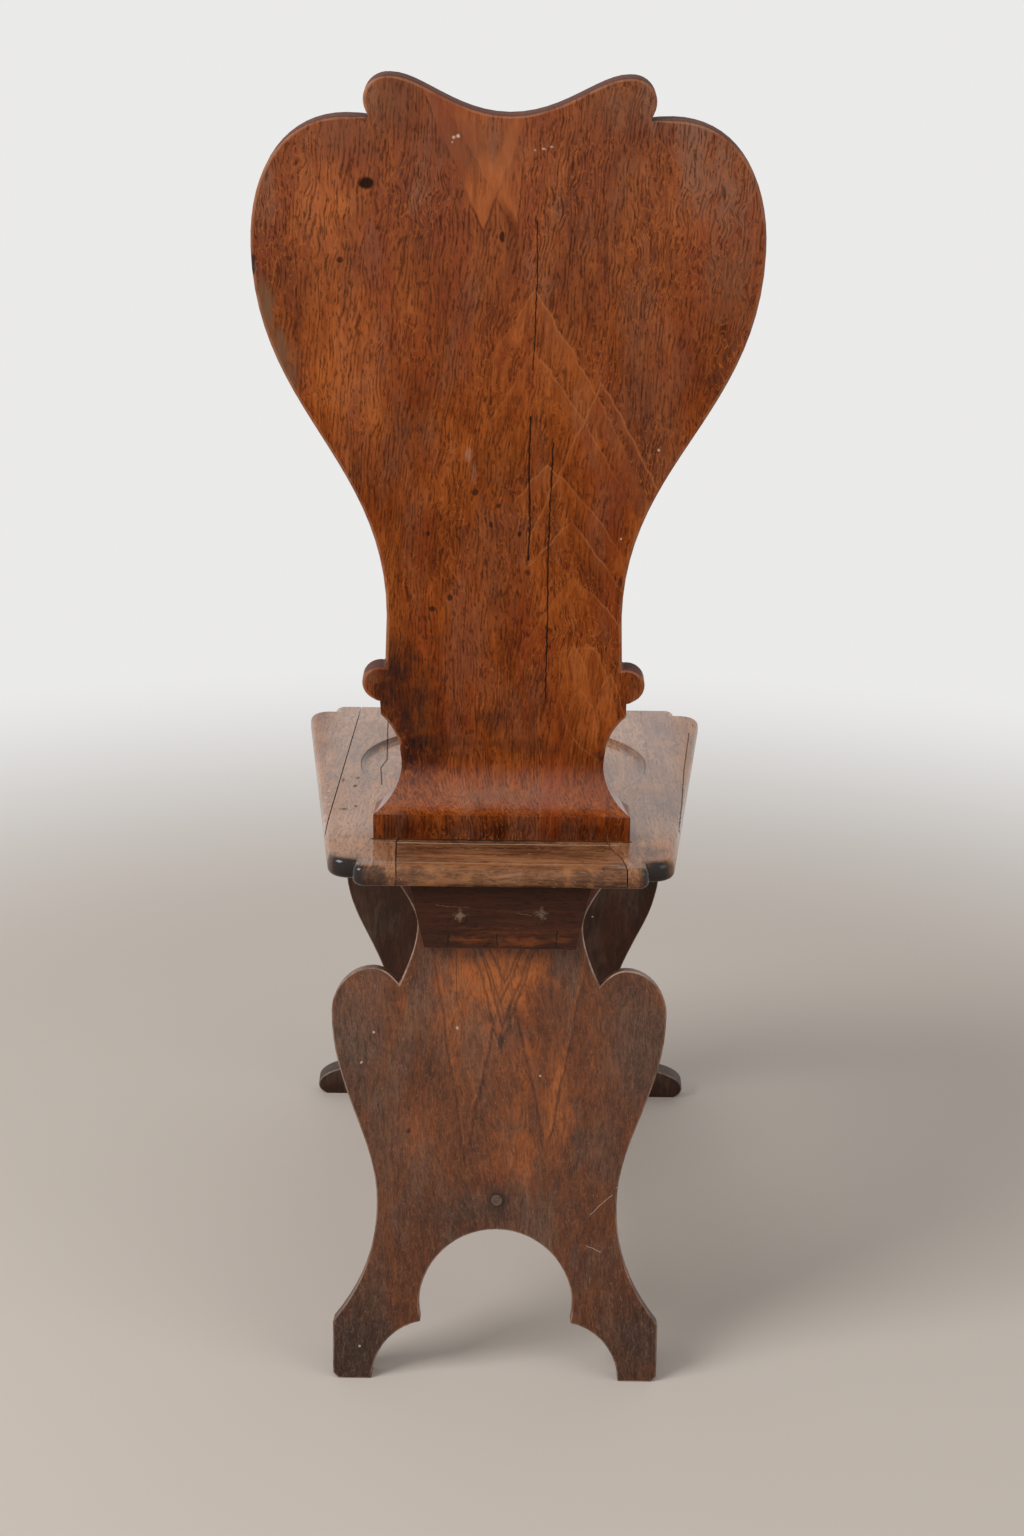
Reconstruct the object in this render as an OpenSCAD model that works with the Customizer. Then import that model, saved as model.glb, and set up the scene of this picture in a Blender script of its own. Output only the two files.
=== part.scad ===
// Sgabello hall chair: a shaped plank back standing on a dished plank seat,
// carried by two raked and shaped plank supports with a stretcher between them.
// Millimetres, +Z up, the sitter faces +Y, origin on the floor under the middle.

/* [Seat] */
// Height of the seat's top above the floor
seat_height = 405; // [370:1:450]
// Thickness of the seat boards
seat_thickness = 16.5; // [15:0.5:22]
// Depth of the seat from front edge to rear edge
seat_depth = 457; // [430:1:500]
// Width over the two front corner lobes
seat_front_width = 355.5; // [340:0.5:390]
// Width over the two rear corner lobes
seat_rear_width = 268; // [262:1:300]
// How far the corner lobes stand back from the front and rear edges
corner_setback = 17; // [12:0.5:22]
// Width of each corner lobe, from the step to the side
corner_width = 21; // [19:0.5:26]
// Radius of a corner lobe in plan
corner_radius = 17; // [10:0.5:18.5]
// Radius where the front and rear edges turn into the step
step_radius = 8.5; // [8.5:0.5:12]
// Rounding of the upper arris all round the seat
edge_round_top = 6; // [3:0.5:8]
// Rounding of the lower arris all round the seat
edge_round_bottom = 5; // [2:0.5:7]
// Diameter of the round dish in the seat
dish_diameter = 246; // [220:1:252]
// Depth of the dish
dish_depth = 4.5; // [2:0.5:7]
// Width of the hollow moulding round the dish
dish_rim = 9; // [5:0.5:14]
// From the front edge to the rim of the dish
dish_margin = 55; // [45:1:70]
// Where the left edge strip is glued on at the front, from the middle
left_seam = 133.5; // [131:0.5:138]
// How far the left seam runs outward between the front and the rear edge
left_seam_slant = 8; // [6:0.5:12]
// From the seat's rear edge to the end of the left strip
left_strip_end = 88; // [70:1:110]
// Where the right edge strip is glued on, from the middle
right_seam = 126; // [125:0.5:132]
// Gap left by the open seam and the two cracks
crack_gap = 0.8; // [0.4:0.1:1.5]

/* [Back] */
// Height of the crest lobes above the seat, along the back
back_height = 584; // [560:1:620]
// Thickness of the back board
back_thickness = 17; // [14:0.5:22]
// Lean of the back from upright, in degrees
back_lean = 8; // [4:0.5:10]
// How far the middle of the crest dips below its lobes
crest_dip = 27; // [15:1:35]
// From the middle to the centre of each crest lobe
crest_lobe_x = 86; // [82:0.5:92]
// Radius of the crest lobes
crest_lobe_r = 17.3; // [14:0.5:20]
// Height of the sharp notch beside each crest lobe
crest_notch_h = 554; // [545:1:556]
// Width of the back at its widest
back_width = 370.6; // [350:1:400]
// Height of the widest place
back_wide_h = 462; // [440:1:480]
// Width of the back at its waist
waist_width = 180; // [170:1:190]
// Height of the waist
waist_h = 180; // [170:1:200]
// Radius of the half round lug on each side
lug_radius = 14.5; // [11:0.5:17]
// Height of the middle of the lugs
lug_h = 123; // [118:0.5:128]
// Half width of the small step under each lug
step_half = 95.7; // [94:0.1:97]
// Height where the throat begins under the step
throat_top_h = 96.6; // [92:0.2:100]
// Height of the narrowest of the throat
throat_h = 57; // [50:0.5:64]
// Half width of the throat above the foot
throat_half = 79.7; // [74:0.1:84]
// Width of the foot block on the seat
foot_width = 201; // [196:1:215]
// Height of the foot block's rear edge
foot_height = 19.3; // [14:0.1:26]
// Slope of the saw cut across the foot, falling toward the front, in degrees
foot_saw_slope = 5; // [0:0.5:8]
// How far the foot block stands out behind the board
foot_reach = 30; // [20:1:36]
// Height of the hollow that sweeps from the board down to the foot block
cove_height = 42; // [30:1:60]
// From the seat's rear edge to the back of the foot block
foot_margin = 68.5; // [60:0.5:80]
// Width of the tenon under the foot, at the seat's top
tenon_width = 157; // [140:1:160]
// Taper of the tenon on each side down to its end
tenon_taper = 6; // [0:0.5:10]
// Thickness of the tenon
tenon_thickness = 17; // [14:0.5:20]
// How far the tenon reaches below the seat
tenon_below = 26; // [20:1:34]

/* [Supports] */
// Thickness of both support boards
support_thickness = 17; // [14:0.5:22]
// Rake of the rear support from upright, in degrees
rear_rake = 13; // [9:0.5:15]
// Rake of the front support from upright, in degrees
front_rake = 10; // [6:0.5:13]
// From the seat's rear edge to the rear support's outer face
rear_overhang = 35.4; // [28:0.2:38]
// From the seat's front edge to the front support's outer face
front_overhang = 24.6; // [18:0.2:34]
// Height of the stub tenons in the underside of the seat
stub_height = 9; // [6:0.5:11]

/* [Rear support] */
// Spread of the rear feet
rear_foot_width = 254; // [240:1:275]
// Height of the upright side of each foot
rear_foot_height = 45.5; // [36:0.5:55]
// Width at the waist
rear_waist_width = 187; // [178:1:200]
// Height of the waist
rear_waist_h = 140; // [130:1:160]
// Width over the two shoulder lobes
rear_lobe_width = 260; // [248:1:275]
// From the seat down to the widest of the lobes, along the board
rear_shoulder_drop = 108; // [100:1:118]
// From the middle to the crown of each lobe
rear_crown_x = 98.5; // [94:0.5:104]
// From the seat down to the crown of the lobes, along the board
rear_crown_drop = 74.4; // [68:0.2:80]
// Half width at the sharp notch between lobe and neck
rear_notch_half = 77.6; // [74:0.2:82]
// How deep the notch lies below the crown
rear_notch_depth = 12.8; // [9:0.2:17]
// Half width of the neck at its narrowest
rear_neck_half = 64; // [60:0.5:68]
// From the seat down to the narrowest of the neck, along the board
rear_neck_drop = 40; // [34:0.5:46]
// Half width of the neck where it meets the seat
rear_neck_top_half = 86; // [80:0.5:90]
// Radius of the arch between the feet
rear_arch_r = 60; // [54:0.5:62]
// Height of the arch
rear_arch_h = 119.5; // [112:0.5:122]
// Radius of the quarter hollow behind each toe
rear_toe_r = 46.8; // [43:0.2:49]
// From the middle to the centre of the quarter hollow
rear_toe_x = 49.5; // [47:0.5:51]

/* [Front support] */
// Spread of the front feet
front_foot_width = 358; // [340:1:380]
// Radius of the rounded toes
front_toe_round = 10; // [8:0.5:12]
// Height of the upper edge of the toes
front_toe_h = 28; // [24:0.5:32]
// Width at the waist
front_waist_width = 218; // [205:1:230]
// Height of the waist
front_waist_h = 120; // [112:1:130]
// Width over the two shoulder lobes
front_lobe_width = 296; // [285:1:306]
// From the seat down to the widest of the lobes, along the board
front_shoulder_drop = 132; // [124:1:140]
// From the middle to the crown of each lobe
front_crown_x = 115; // [110:0.5:120]
// From the seat down to the crown of the lobes, along the board
front_crown_drop = 94; // [86:0.5:100]
// Half width at the sharp notch between lobe and neck
front_notch_half = 92; // [88:0.5:96]
// How deep the notch lies below the crown
front_notch_depth = 14; // [10:0.5:18]
// Half width of the neck at its narrowest
front_neck_half = 80; // [76:0.5:84]
// From the seat down to the narrowest of the neck, along the board
front_neck_drop = 50; // [44:0.5:58]
// Half width of the neck where it meets the seat
front_neck_top_half = 106; // [98:0.5:112]
// Radius of the arch between the feet
front_arch_r = 72; // [66:0.5:75]
// Height of the arch
front_arch_h = 98; // [92:0.5:100]
// Radius of the quarter hollow behind each toe
front_toe_r = 50; // [46:0.5:53]
// From the middle to the centre of the quarter hollow
front_toe_x = 72; // [69:0.5:74]

/* [Stretcher] */
// Height of the middle of the stretcher
stretcher_h = 139; // [135:0.5:150]
// Depth of the stretcher's section
stretcher_section_h = 42; // [34:1:44]
// Thickness of the stretcher
stretcher_thickness = 18; // [16:0.5:24]
// Length of the stub at each end of the stretcher
stretcher_stub = 7; // [4:0.5:9]

/* [Pegs and blocks] */
// Diameter of the turned pegs
peg_diameter = 9; // [7:0.1:10]
// How far a peg's end stands proud
peg_proud = 0.8; // [0.4:0.1:1.5]
// Length of a stretcher peg beyond the support
peg_reach = 28; // [18:1:36]
// Width of the rear cleat under the seat
cleat_top_width = 144; // [136:1:150]
// Width of the rear cleat at its lower end
cleat_bottom_width = 117; // [108:1:124]
// Length of the cleat down the rear support
cleat_length = 56.5; // [50:0.5:60]
// Thickness of the cleat
cleat_thickness = 14; // [10:0.5:18]
// Between the two pegs in the cleat
cleat_peg_spacing = 61; // [50:0.5:70]
// From the seat down to the cleat's pegs, along the board
cleat_peg_drop = 33; // [26:0.5:38]
// Width of each tenon key
key_width = 12; // [9:0.5:14]
// Height of a tenon key at its thick end
key_height = 10; // [8:0.5:12]
// Length of a tenon key
key_length = 42; // [36:1:46]
// Between the two tenon keys
key_spacing = 100; // [80:1:110]
// Length of each glue block along the seat
block_length = 46; // [34:1:54]
// Side of the front glue blocks
front_block = 20; // [14:0.5:26]
// Side of the rear glue blocks
rear_block = 11; // [8:0.5:12]
// Clearance round tenons, stubs, pegs and keys
fit = 0.25; // [0.15:0.05:0.3]

/* [Hidden] */
$fn = 48;

// Planes that everything is set from
seat_under = seat_height - seat_thickness;
seat_centre_y = (front_overhang - rear_overhang
    + seat_under * (tan(rear_rake) - tan(front_rake))) / 2;
front_edge_y = seat_centre_y + seat_depth / 2;
rear_edge_y = seat_centre_y - seat_depth / 2;
rear_foot_y = rear_edge_y + rear_overhang - seat_under * tan(rear_rake);
front_foot_y = front_edge_y - front_overhang + seat_under * tan(front_rake)
    - support_thickness / cos(front_rake);
rear_top_s = seat_under / cos(rear_rake);
front_top_s = seat_under / cos(front_rake);
over = 6;
far = 1200;

// Places of the back
foot_rear_y = rear_edge_y + foot_margin;
back_face_y = foot_rear_y + foot_reach;
foot_front_y = back_face_y + back_thickness / cos(back_lean);
tenon_rear_y = foot_rear_y + 7;
tenon_front_y = tenon_rear_y + tenon_thickness;

// Places of the seat
dish_y = front_edge_y - dish_margin - dish_diameter / 2;
side_front_y = front_edge_y - corner_setback - corner_radius;
side_rear_y = rear_edge_y + corner_setback + corner_radius;
edge_rings = 5;

// Places of the pegs
rear_peg_s = stretcher_h / cos(rear_rake);
front_peg_s = stretcher_h / cos(front_rake);
cleat_peg_s = rear_top_s - cleat_peg_drop;
peg_hole = peg_diameter + 2 * fit;

// A cubic curve without its first point
function curve(a, b, c, d, n = 12) = [
    for (i = [1:n])
        let (t = i / n, u = 1 - t)
        u * u * u * a + 3 * t * u * u * b + 3 * t * t * u * c + t * t * t * d
];

// An arc about a centre, both ends included
function arc(centre, r, from, to, n = 12) = [
    for (i = [0:n])
        let (a = from + (to - from) * i / n)
        centre + r * [cos(a), sin(a)]
];

// The right half of an outline, walked from top to bottom, made whole
function both_sides(half) = concat(
    half,
    [for (i = [len(half) - 1:-1:0]) [-half[i][0], half[i][1]]]
);

function unit(v) = v / norm(v);
function inward(v) = [-v[1], v[0]];

// An outline, walked anticlockwise, drawn in by a distance
function drawn_in(outline, d) = [
    for (i = [0:len(outline) - 1])
        let (
            n = len(outline),
            p = outline[i],
            before = inward(unit(p - outline[(i + n - 1) % n])),
            after = inward(unit(outline[(i + 1) % n] - p))
        )
        p + (before + after) * d / (1 + before * after)
];

// Half outline of the back above the throat: crest, heart, waist, lug and step.
// Below the throat it opens out, because the foot has an outline of its own.
function back_half() =
    let (
        dip = [0, back_height - crest_dip],
        lobe = [crest_lobe_x, back_height - crest_lobe_r],
        notch = [crest_lobe_x + 14, crest_notch_h],
        lobe_end = atan2(notch[1] - lobe[1], notch[0] - lobe[0]) + 4,
        wide = [back_width / 2, back_wide_h],
        waist = [waist_width / 2, waist_h],
        lug = [step_half - 0.7, lug_h],
        lug_start = [waist_width / 2 + 1.5, lug_h + lug_radius - 0.4],
        start_h = throat_h + 3,
        drop = throat_top_h - start_h,
        flare = step_half - throat_half,
        r = (drop * drop + flare * flare) / (2 * flare)
    )
    concat(
        [dip],
        curve(dip, dip + [38, 0], lobe + [-24, crest_lobe_r], lobe + [-2, crest_lobe_r], 12),
        arc(lobe, crest_lobe_r, 84, lobe_end, 12),
        [notch],
        curve(notch, notch + [49, 9], wide + [0, 66.5], wide, 18),
        curve(wide, wide + [0, -122], waist + [0, 124], waist, 22),
        [lug_start],
        arc(lug, lug_radius, 90, -82, 14),
        [[step_half, lug_h - lug_radius]],
        arc([throat_half + r, start_h], r, 180 - asin(drop / r), 180, 10),
        [[throat_half, throat_h - 5], [throat_half + 60, throat_h - 32], [throat_half + 60, -60]]
    );

// Half outline of the foot, up from the foot block's rear arris, open above the throat
function foot_half() =
    let (
        drop = throat_h - foot_height,
        narrowest = throat_half - 0.5,
        flare = foot_width / 2 - narrowest,
        r = (drop * drop + flare * flare) / (2 * flare)
    )
    concat(
        [[far / 2, far], [far / 2, drop + 60]],
        arc([narrowest + r, drop], r, 168, 180 + asin(drop / r), 13),
        [[foot_width / 2, -2 * foot_height]]
    );

// Section of the back from the side: board, cove and foot block
function back_section() =
    let (
        slope = tan(back_lean),
        top = back_height + 60,
        cove_top = foot_height + cove_height,
        cove_foot = [foot_rear_y, seat_height + foot_height],
        cove_head = [back_face_y - cove_top * slope, seat_height + cove_top],
        toward = unit([-slope, 1])
    )
    concat(
        [
            [foot_rear_y, seat_height],
            [foot_front_y, seat_height],
            [foot_front_y - top * slope, seat_height + top],
            [back_face_y - top * slope, seat_height + top]
        ],
        [cove_head],
        curve(cove_head, cove_head - toward * cove_height * 0.62,
            cove_foot + [9, 1.5], cove_foot, 12)
    );

module back_board() {
    color("#7a3a1c")
    union() {
        intersection() {
            translate([0, back_face_y, seat_height])
            rotate([back_lean, 0, 0])
            upright_board(both_sides(back_half()), back_thickness, 9 * over);

            translate([0, foot_rear_y, seat_height + foot_height])
            rotate([-foot_saw_slope, 0, 0])
            upright_board(both_sides(foot_half()), foot_reach + back_thickness, far / 2);

            translate([-far / 2, 0, 0])
            rotate([90, 0, 90])
            linear_extrude(far)
            polygon(back_section());
        }
        tenon(0, 0.01);
    }
}

// The tenon under the back's foot, or the hole for it
module tenon(gap, above) {
    end = seat_under - tenon_below;
    difference() {
        translate([0, tenon_front_y + gap, 0])
        rotate([90, 0, 0])
        linear_extrude(tenon_thickness + 2 * gap)
        polygon([
            [-tenon_width / 2 - gap, seat_height + above],
            [-tenon_width / 2 + tenon_taper - gap, end - gap],
            [tenon_width / 2 - tenon_taper + gap, end - gap],
            [tenon_width / 2 + gap, seat_height + above]
        ]);
        if (gap == 0)
            keys(fit);
    }
}

// The two wedges through the tenon, or the holes for them
module keys(gap) {
    thin = key_height * 0.7;
    front = tenon_front_y + key_length - tenon_thickness - 8;
    for (side = [-1, 1])
        translate([side * key_spacing / 2 - key_width / 2 - gap, 0, 0])
        rotate([90, 0, 90])
        linear_extrude(key_width + 2 * gap)
        polygon([
            [front, seat_under + gap * 0.01],
            [front - key_length, seat_under + gap * 0.01],
            [front - key_length, seat_under - thin - gap],
            [front, seat_under - key_height - gap]
        ]);
}

module tenon_keys() {
    color("#5d3a22")
    keys(0);
}

// Plan of the seat with its stepped corners, walked anticlockwise
function seat_half() =
    let (
        front = seat_front_width / 2,
        rear = seat_rear_width / 2,
        r = corner_radius,
        q = step_radius,
        front_step = front - corner_width,
        rear_step = rear - corner_width,
        lean = atan((front - rear) / (side_front_y - side_rear_y))
    )
    concat(
        arc([rear_step - q, rear_edge_y + q], q, -90, 0, 6),
        [[rear_step, rear_edge_y + corner_setback]],
        arc([rear - r, rear_edge_y + corner_setback + r], r, -90, -lean, 9),
        arc([front - r, front_edge_y - corner_setback - r], r, -lean, 90, 10),
        [[front_step, front_edge_y - corner_setback]],
        arc([front_step - q, front_edge_y - q], q, 0, 90, 6)
    );

function seat_plan() =
    let (half = seat_half())
    concat(half, [for (i = [len(half) - 1:-1:0]) [-half[i][0], half[i][1]]]);

// What is cut away along one arris of the seat, as pairs of how far in and at what height
function arris_cut(r, level, up, n) =
    let (
        spare = 0.3,
        rise = spare * tan(45 / n)
    )
    concat(
        [[-rise, level - up * (r + spare)]],
        [
            for (i = [0:n])
                let (a = 90 * i / n)
                [r * (1 - cos(a)), level - up * r * (1 - sin(a))]
        ],
        [
            [r + spare, level + up * rise],
            [r + spare, level + up * 3],
            [-0.4, level + up * 3]
        ]
    );

// A ring round the seat's plan with such a section
module arris_ring(section) {
    plan = seat_plan();
    n = len(plan);
    m = len(section);
    points = [
        for (place = section)
            for (p = drawn_in(plan, place[0]))
                [p[0], p[1], place[1]]
    ];
    faces = [
        for (k = [0:m - 1])
            for (i = [0:n - 1])
                let (j = (i + 1) % n, next = (k + 1) % m)
                [k * n + i, k * n + j, next * n + j, next * n + i]
    ];
    polyhedron(points, faces, convexity = 6);
}

module seat_blank() {
    lower = arris_cut(edge_round_bottom, seat_under, -1, edge_rings - 1);
    difference() {
        translate([0, 0, seat_under])
        linear_extrude(seat_thickness)
        polygon(seat_plan());
        arris_ring(arris_cut(edge_round_top, seat_height, 1, edge_rings));
        arris_ring([for (i = [len(lower) - 1:-1:0]) lower[i]]);
    }
}

module dish() {
    r = dish_diameter / 2;
    translate([0, dish_y, seat_height])
    rotate_extrude($fn = 96)
    polygon(concat(
        [[0, over], [r, over], [r, -dish_depth * 0.2]],
        curve([r, -dish_depth * 0.2], [r - dish_rim * 0.15, -dish_depth * 0.9],
            [r - dish_rim * 0.5, -dish_depth], [r - dish_rim, -dish_depth], 6),
        [[0, -dish_depth]]
    ));
}

// The right crack behind the back's tenon, walked forward from the rear edge
function right_crack(gap) =
    let (root = tenon_width / 2 + fit + gap)
    [
        [root + 18, rear_edge_y - over],
        [root + 14, foot_rear_y - 43],
        [root + 8, foot_rear_y - 24],
        [root + 5, foot_rear_y - 8],
        [root, tenon_rear_y - fit]
    ];

// The left crack, walked back from the tenon to the rear edge
function left_crack(gap) =
    let (root = tenon_width / 2 + fit + gap)
    [
        [-root, tenon_rear_y - fit],
        [-root - 3, foot_rear_y - 8],
        [-root, rear_edge_y - over]
    ];

// The left seam and the end of its strip, walked forward from the side
function left_joint(gap) =
    let (
        slope = left_seam_slant / seat_depth,
        end = rear_edge_y + left_strip_end - gap
    )
    [
        [-far / 2, end],
        [-left_seam + gap - (front_edge_y - end) * slope, end],
        [-left_seam + gap + over * slope, front_edge_y + over]
    ];

// The part of the seat's blank that lies within a plan
module sawn_to(plan) {
    intersection() {
        seat_blank();
        translate([0, 0, seat_under - over])
        linear_extrude(seat_thickness + 2 * over)
        polygon(plan);
    }
}

module seat_board() {
    color("#6f4f3c")
    difference() {
        sawn_to(concat(
            left_joint(crack_gap),
            [[right_seam, front_edge_y + over], [right_seam, rear_edge_y - over]],
            right_crack(crack_gap),
            left_crack(crack_gap),
            [[-far / 2, rear_edge_y - over]]
        ));
        dish();
        tenon(fit, over);
        rear_stub(fit);
        front_stub(fit);
    }
}

module seat_strip_left() {
    color("#735242")
    sawn_to(concat(left_joint(0), [[-far / 2, front_edge_y + over]]));
}

module seat_strip_right() {
    color("#715040")
    sawn_to([
        [right_seam, rear_edge_y - over],
        [far / 2, rear_edge_y - over],
        [far / 2, front_edge_y + over],
        [right_seam, front_edge_y + over]
    ]);
}

module seat_rear_piece() {
    color("#7d4a29")
    difference() {
        sawn_to(concat(right_crack(0), left_crack(0)));
        rear_stub(fit);
    }
}

// Local frames of the supports: X across, Y into the chair, Z up the board's outer face
module rear_frame() {
    translate([0, rear_foot_y, 0])
    rotate([-rear_rake, 0, 0])
    children();
}

module front_frame() {
    translate([0, front_foot_y, 0])
    rotate([front_rake, 0, 0])
    children();
}

// A board standing in its local frame, from an outline across and up
module upright_board(outline, thickness, spare = 0) {
    translate([0, thickness + spare, 0])
    rotate([90, 0, 0])
    linear_extrude(thickness + 2 * spare)
    polygon(outline);
}

module between(low, high) {
    intersection() {
        children();
        translate([-far / 2, -far / 2, low])
        cube([far, far, high - low]);
    }
}

// Half outline of the neck and the shoulder lobe, walked down from the seat
function neck_and_lobe(top, neck, notch, crown, shoulder) = concat(
    [top + [over * 0.8, over], top],
    curve(top, top + [-9, -11], neck + [0, 11], neck, 9),
    curve(neck, neck + [0, -16], notch + [-6, 13], notch, 9),
    curve(notch, notch + [6, 7], crown + [-9, 0], crown, 7),
    curve(crown, crown + [(shoulder[0] - crown[0]) * 0.56, 0],
        shoulder + [0, (crown[1] - shoulder[1]) * 0.52], shoulder, 10)
);

// Half outline of the space between the feet, walked from the toe up to the crown
function arch_half(arch_r, arch_h, toe_r, toe_x) =
    let (
        centre = [0, arch_h - arch_r],
        cusp_h = centre[1] * 0.77,
        arch_side = sqrt(arch_r * arch_r - (centre[1] - cusp_h) * (centre[1] - cusp_h)),
        toe_angle = acos(min(1, (arch_side - toe_x) / toe_r)),
        cusp = toe_x + toe_r * cos(toe_angle)
    )
    concat(
        [[toe_x + toe_r, -over]],
        arc([toe_x, 0], toe_r, 0, toe_angle, 9),
        arc(centre, arch_r, atan2(toe_r * sin(toe_angle) - centre[1], cusp) + 2, 90, 16)
    );

function rear_outline() =
    let (
        shoulder = [rear_lobe_width / 2, rear_top_s - rear_shoulder_drop],
        waist = [rear_waist_width / 2, rear_waist_h],
        foot = [rear_foot_width / 2, rear_foot_height]
    )
    both_sides(concat(
        neck_and_lobe(
            [rear_neck_top_half, rear_top_s],
            [rear_neck_half, rear_top_s - rear_neck_drop],
            [rear_notch_half, rear_top_s - rear_crown_drop - rear_notch_depth],
            [rear_crown_x, rear_top_s - rear_crown_drop],
            shoulder
        ),
        curve(shoulder, shoulder + [0, -62], waist + [0, 52], waist, 16),
        curve(waist, waist + [0, -38], foot + [-22, 27], foot, 10),
        [foot + [-0.5, 4 - foot[1]], [foot[0] - 5, 0], [foot[0] - 5, -over]],
        arch_half(rear_arch_r, rear_arch_h, rear_toe_r, rear_toe_x)
    ));

function front_outline() =
    let (
        shoulder = [front_lobe_width / 2, front_top_s - front_shoulder_drop],
        waist = [front_waist_width / 2, front_waist_h],
        flank = [(shoulder[0] + waist[0]) / 2, (shoulder[1] + waist[1]) / 2 - 8],
        toe = [front_foot_width / 2 - front_toe_round, front_toe_round],
        toe_top = [front_foot_width / 2 - 20, front_toe_h]
    )
    both_sides(concat(
        neck_and_lobe(
            [front_neck_top_half, front_top_s],
            [front_neck_half, front_top_s - front_neck_drop],
            [front_notch_half, front_top_s - front_crown_drop - front_notch_depth],
            [front_crown_x, front_top_s - front_crown_drop],
            shoulder
        ),
        curve(shoulder, shoulder + [0, -40], flank + [6, 14], flank, 9),
        curve(flank, flank + [-12, -28], waist + [0, 16], waist, 8),
        curve(waist, waist + [-3, -34], toe_top + [-34, 9], toe_top, 12),
        curve(toe_top, toe_top + [11, -3.5], toe + [front_toe_round, 8],
            toe + [front_toe_round, 0], 6),
        arc(toe, front_toe_round, -15, -80, 5),
        [[toe[0], -over]],
        arch_half(front_arch_r, front_arch_h, front_toe_r, front_toe_x)
    ));

// Stub tenon of the rear support in the underside of the seat, or the hole for it
module rear_stub(gap) {
    between(seat_under - (gap > 0 ? over : 0.01), seat_under + stub_height + gap)
    rear_frame()
    translate([-rear_neck_half * 0.6 - gap, 4 - gap, rear_top_s - 3 * over])
    cube([rear_neck_half * 1.2 + 2 * gap, support_thickness - 8 + 2 * gap, 8 * over]);
}

module front_stub(gap) {
    between(seat_under - (gap > 0 ? over : 0.01), seat_under + stub_height + gap)
    front_frame()
    translate([-front_neck_half * 0.7 - gap, 4 - gap, front_top_s - 3 * over])
    cube([front_neck_half * 1.4 + 2 * gap, support_thickness - 8 + 2 * gap, 8 * over]);
}

module rear_support() {
    color("#5c3423")
    difference() {
        union() {
            between(0, seat_under)
            rear_frame()
            upright_board(rear_outline(), support_thickness);
            rear_stub(0);
        }
        stretcher_stubs(fit);
        rear_frame() {
            peg_at([0, rear_peg_s], support_thickness + over, over, peg_hole);
            for (side = [-1, 1])
                peg_at([side * cleat_peg_spacing / 2, cleat_peg_s],
                    support_thickness - 3 + fit, over, peg_hole);
        }
    }
}

module front_support() {
    color("#4c2a1e")
    difference() {
        union() {
            between(0, seat_under)
            front_frame()
            upright_board(front_outline(), support_thickness);
            front_stub(0);
        }
        stretcher_stubs(fit);
        front_frame()
        front_peg_at(support_thickness + over, over, peg_hole);
    }
}

// A peg driven square into the rear support's outer face, at x and s
module peg_at(place, depth, proud, diameter) {
    translate([place[0], -proud, place[1]])
    rotate([-90, 0, 0])
    cylinder(h = depth + proud, d = diameter);
}

// The peg driven square into the front support's outer face
module front_peg_at(depth, proud, diameter) {
    translate([0, support_thickness + proud, front_peg_s])
    rotate([90, 0, 0])
    cylinder(h = depth + proud, d = diameter);
}

// Section of the stretcher between the two raked faces, seen from the side
function stretcher_section(half_h, longer) = [
    for (end = [-1, 1])
        for (up = [-end, end])
            let (z = stretcher_h + up * half_h)
            end < 0
                ? [rear_foot_y + z * tan(rear_rake) + support_thickness / cos(rear_rake) - longer, z]
                : [front_foot_y - z * tan(front_rake) + longer, z]
];

module stretcher_bar(half_h, half_w, longer) {
    translate([-half_w, 0, 0])
    rotate([90, 0, 90])
    linear_extrude(2 * half_w)
    polygon(stretcher_section(half_h, longer));
}

module stretcher_stubs(gap) {
    stretcher_bar(stretcher_section_h / 2 - 7 + gap, stretcher_thickness / 2 - 3 + gap,
        stretcher_stub + gap);
}

module stretcher() {
    color("#55301f")
    difference() {
        union() {
            stretcher_bar(stretcher_section_h / 2, stretcher_thickness / 2, 0);
            stretcher_stubs(0);
        }
        rear_frame()
        peg_at([0, rear_peg_s], support_thickness + peg_reach + fit, 0, peg_hole);
        front_frame()
        front_peg_at(support_thickness + peg_reach + fit, 0, peg_hole);
    }
}

module stretcher_pegs() {
    color("#6a4630") {
        rear_frame()
        peg_at([0, rear_peg_s], support_thickness + peg_reach, peg_proud, peg_diameter);
        front_frame()
        front_peg_at(support_thickness + peg_reach, peg_proud, peg_diameter);
    }
}

module rear_cleat() {
    color("#3f2418")
    difference() {
        between(0, seat_under)
        rear_frame()
        translate([0, -cleat_thickness, 0])
        upright_board([
            [-cleat_bottom_width / 2, rear_top_s - cleat_length],
            [cleat_bottom_width / 2, rear_top_s - cleat_length],
            [cleat_top_width / 2, rear_top_s],
            [cleat_top_width / 2, rear_top_s + over],
            [-cleat_top_width / 2, rear_top_s + over],
            [-cleat_top_width / 2, rear_top_s]
        ], cleat_thickness);
        rear_frame()
        for (side = [-1, 1])
            peg_at([side * cleat_peg_spacing / 2, cleat_peg_s], over,
                cleat_thickness + over, peg_hole);
    }
}

module cleat_pegs() {
    color("#6a4630")
    rear_frame()
    for (side = [-1, 1])
        peg_at([side * cleat_peg_spacing / 2, cleat_peg_s], support_thickness - 3,
            cleat_thickness + peg_proud, peg_diameter);
}

// A three cornered block in the angle between the seat and a support
module glue_block(face_y, slope, side_length, middle_x) {
    translate([middle_x - block_length / 2, 0, 0])
    rotate([90, 0, 90])
    linear_extrude(block_length)
    polygon([
        [face_y, seat_under],
        [face_y + slope * side_length, seat_under - side_length],
        [face_y + sign(slope) * -side_length, seat_under]
    ]);
}

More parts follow.
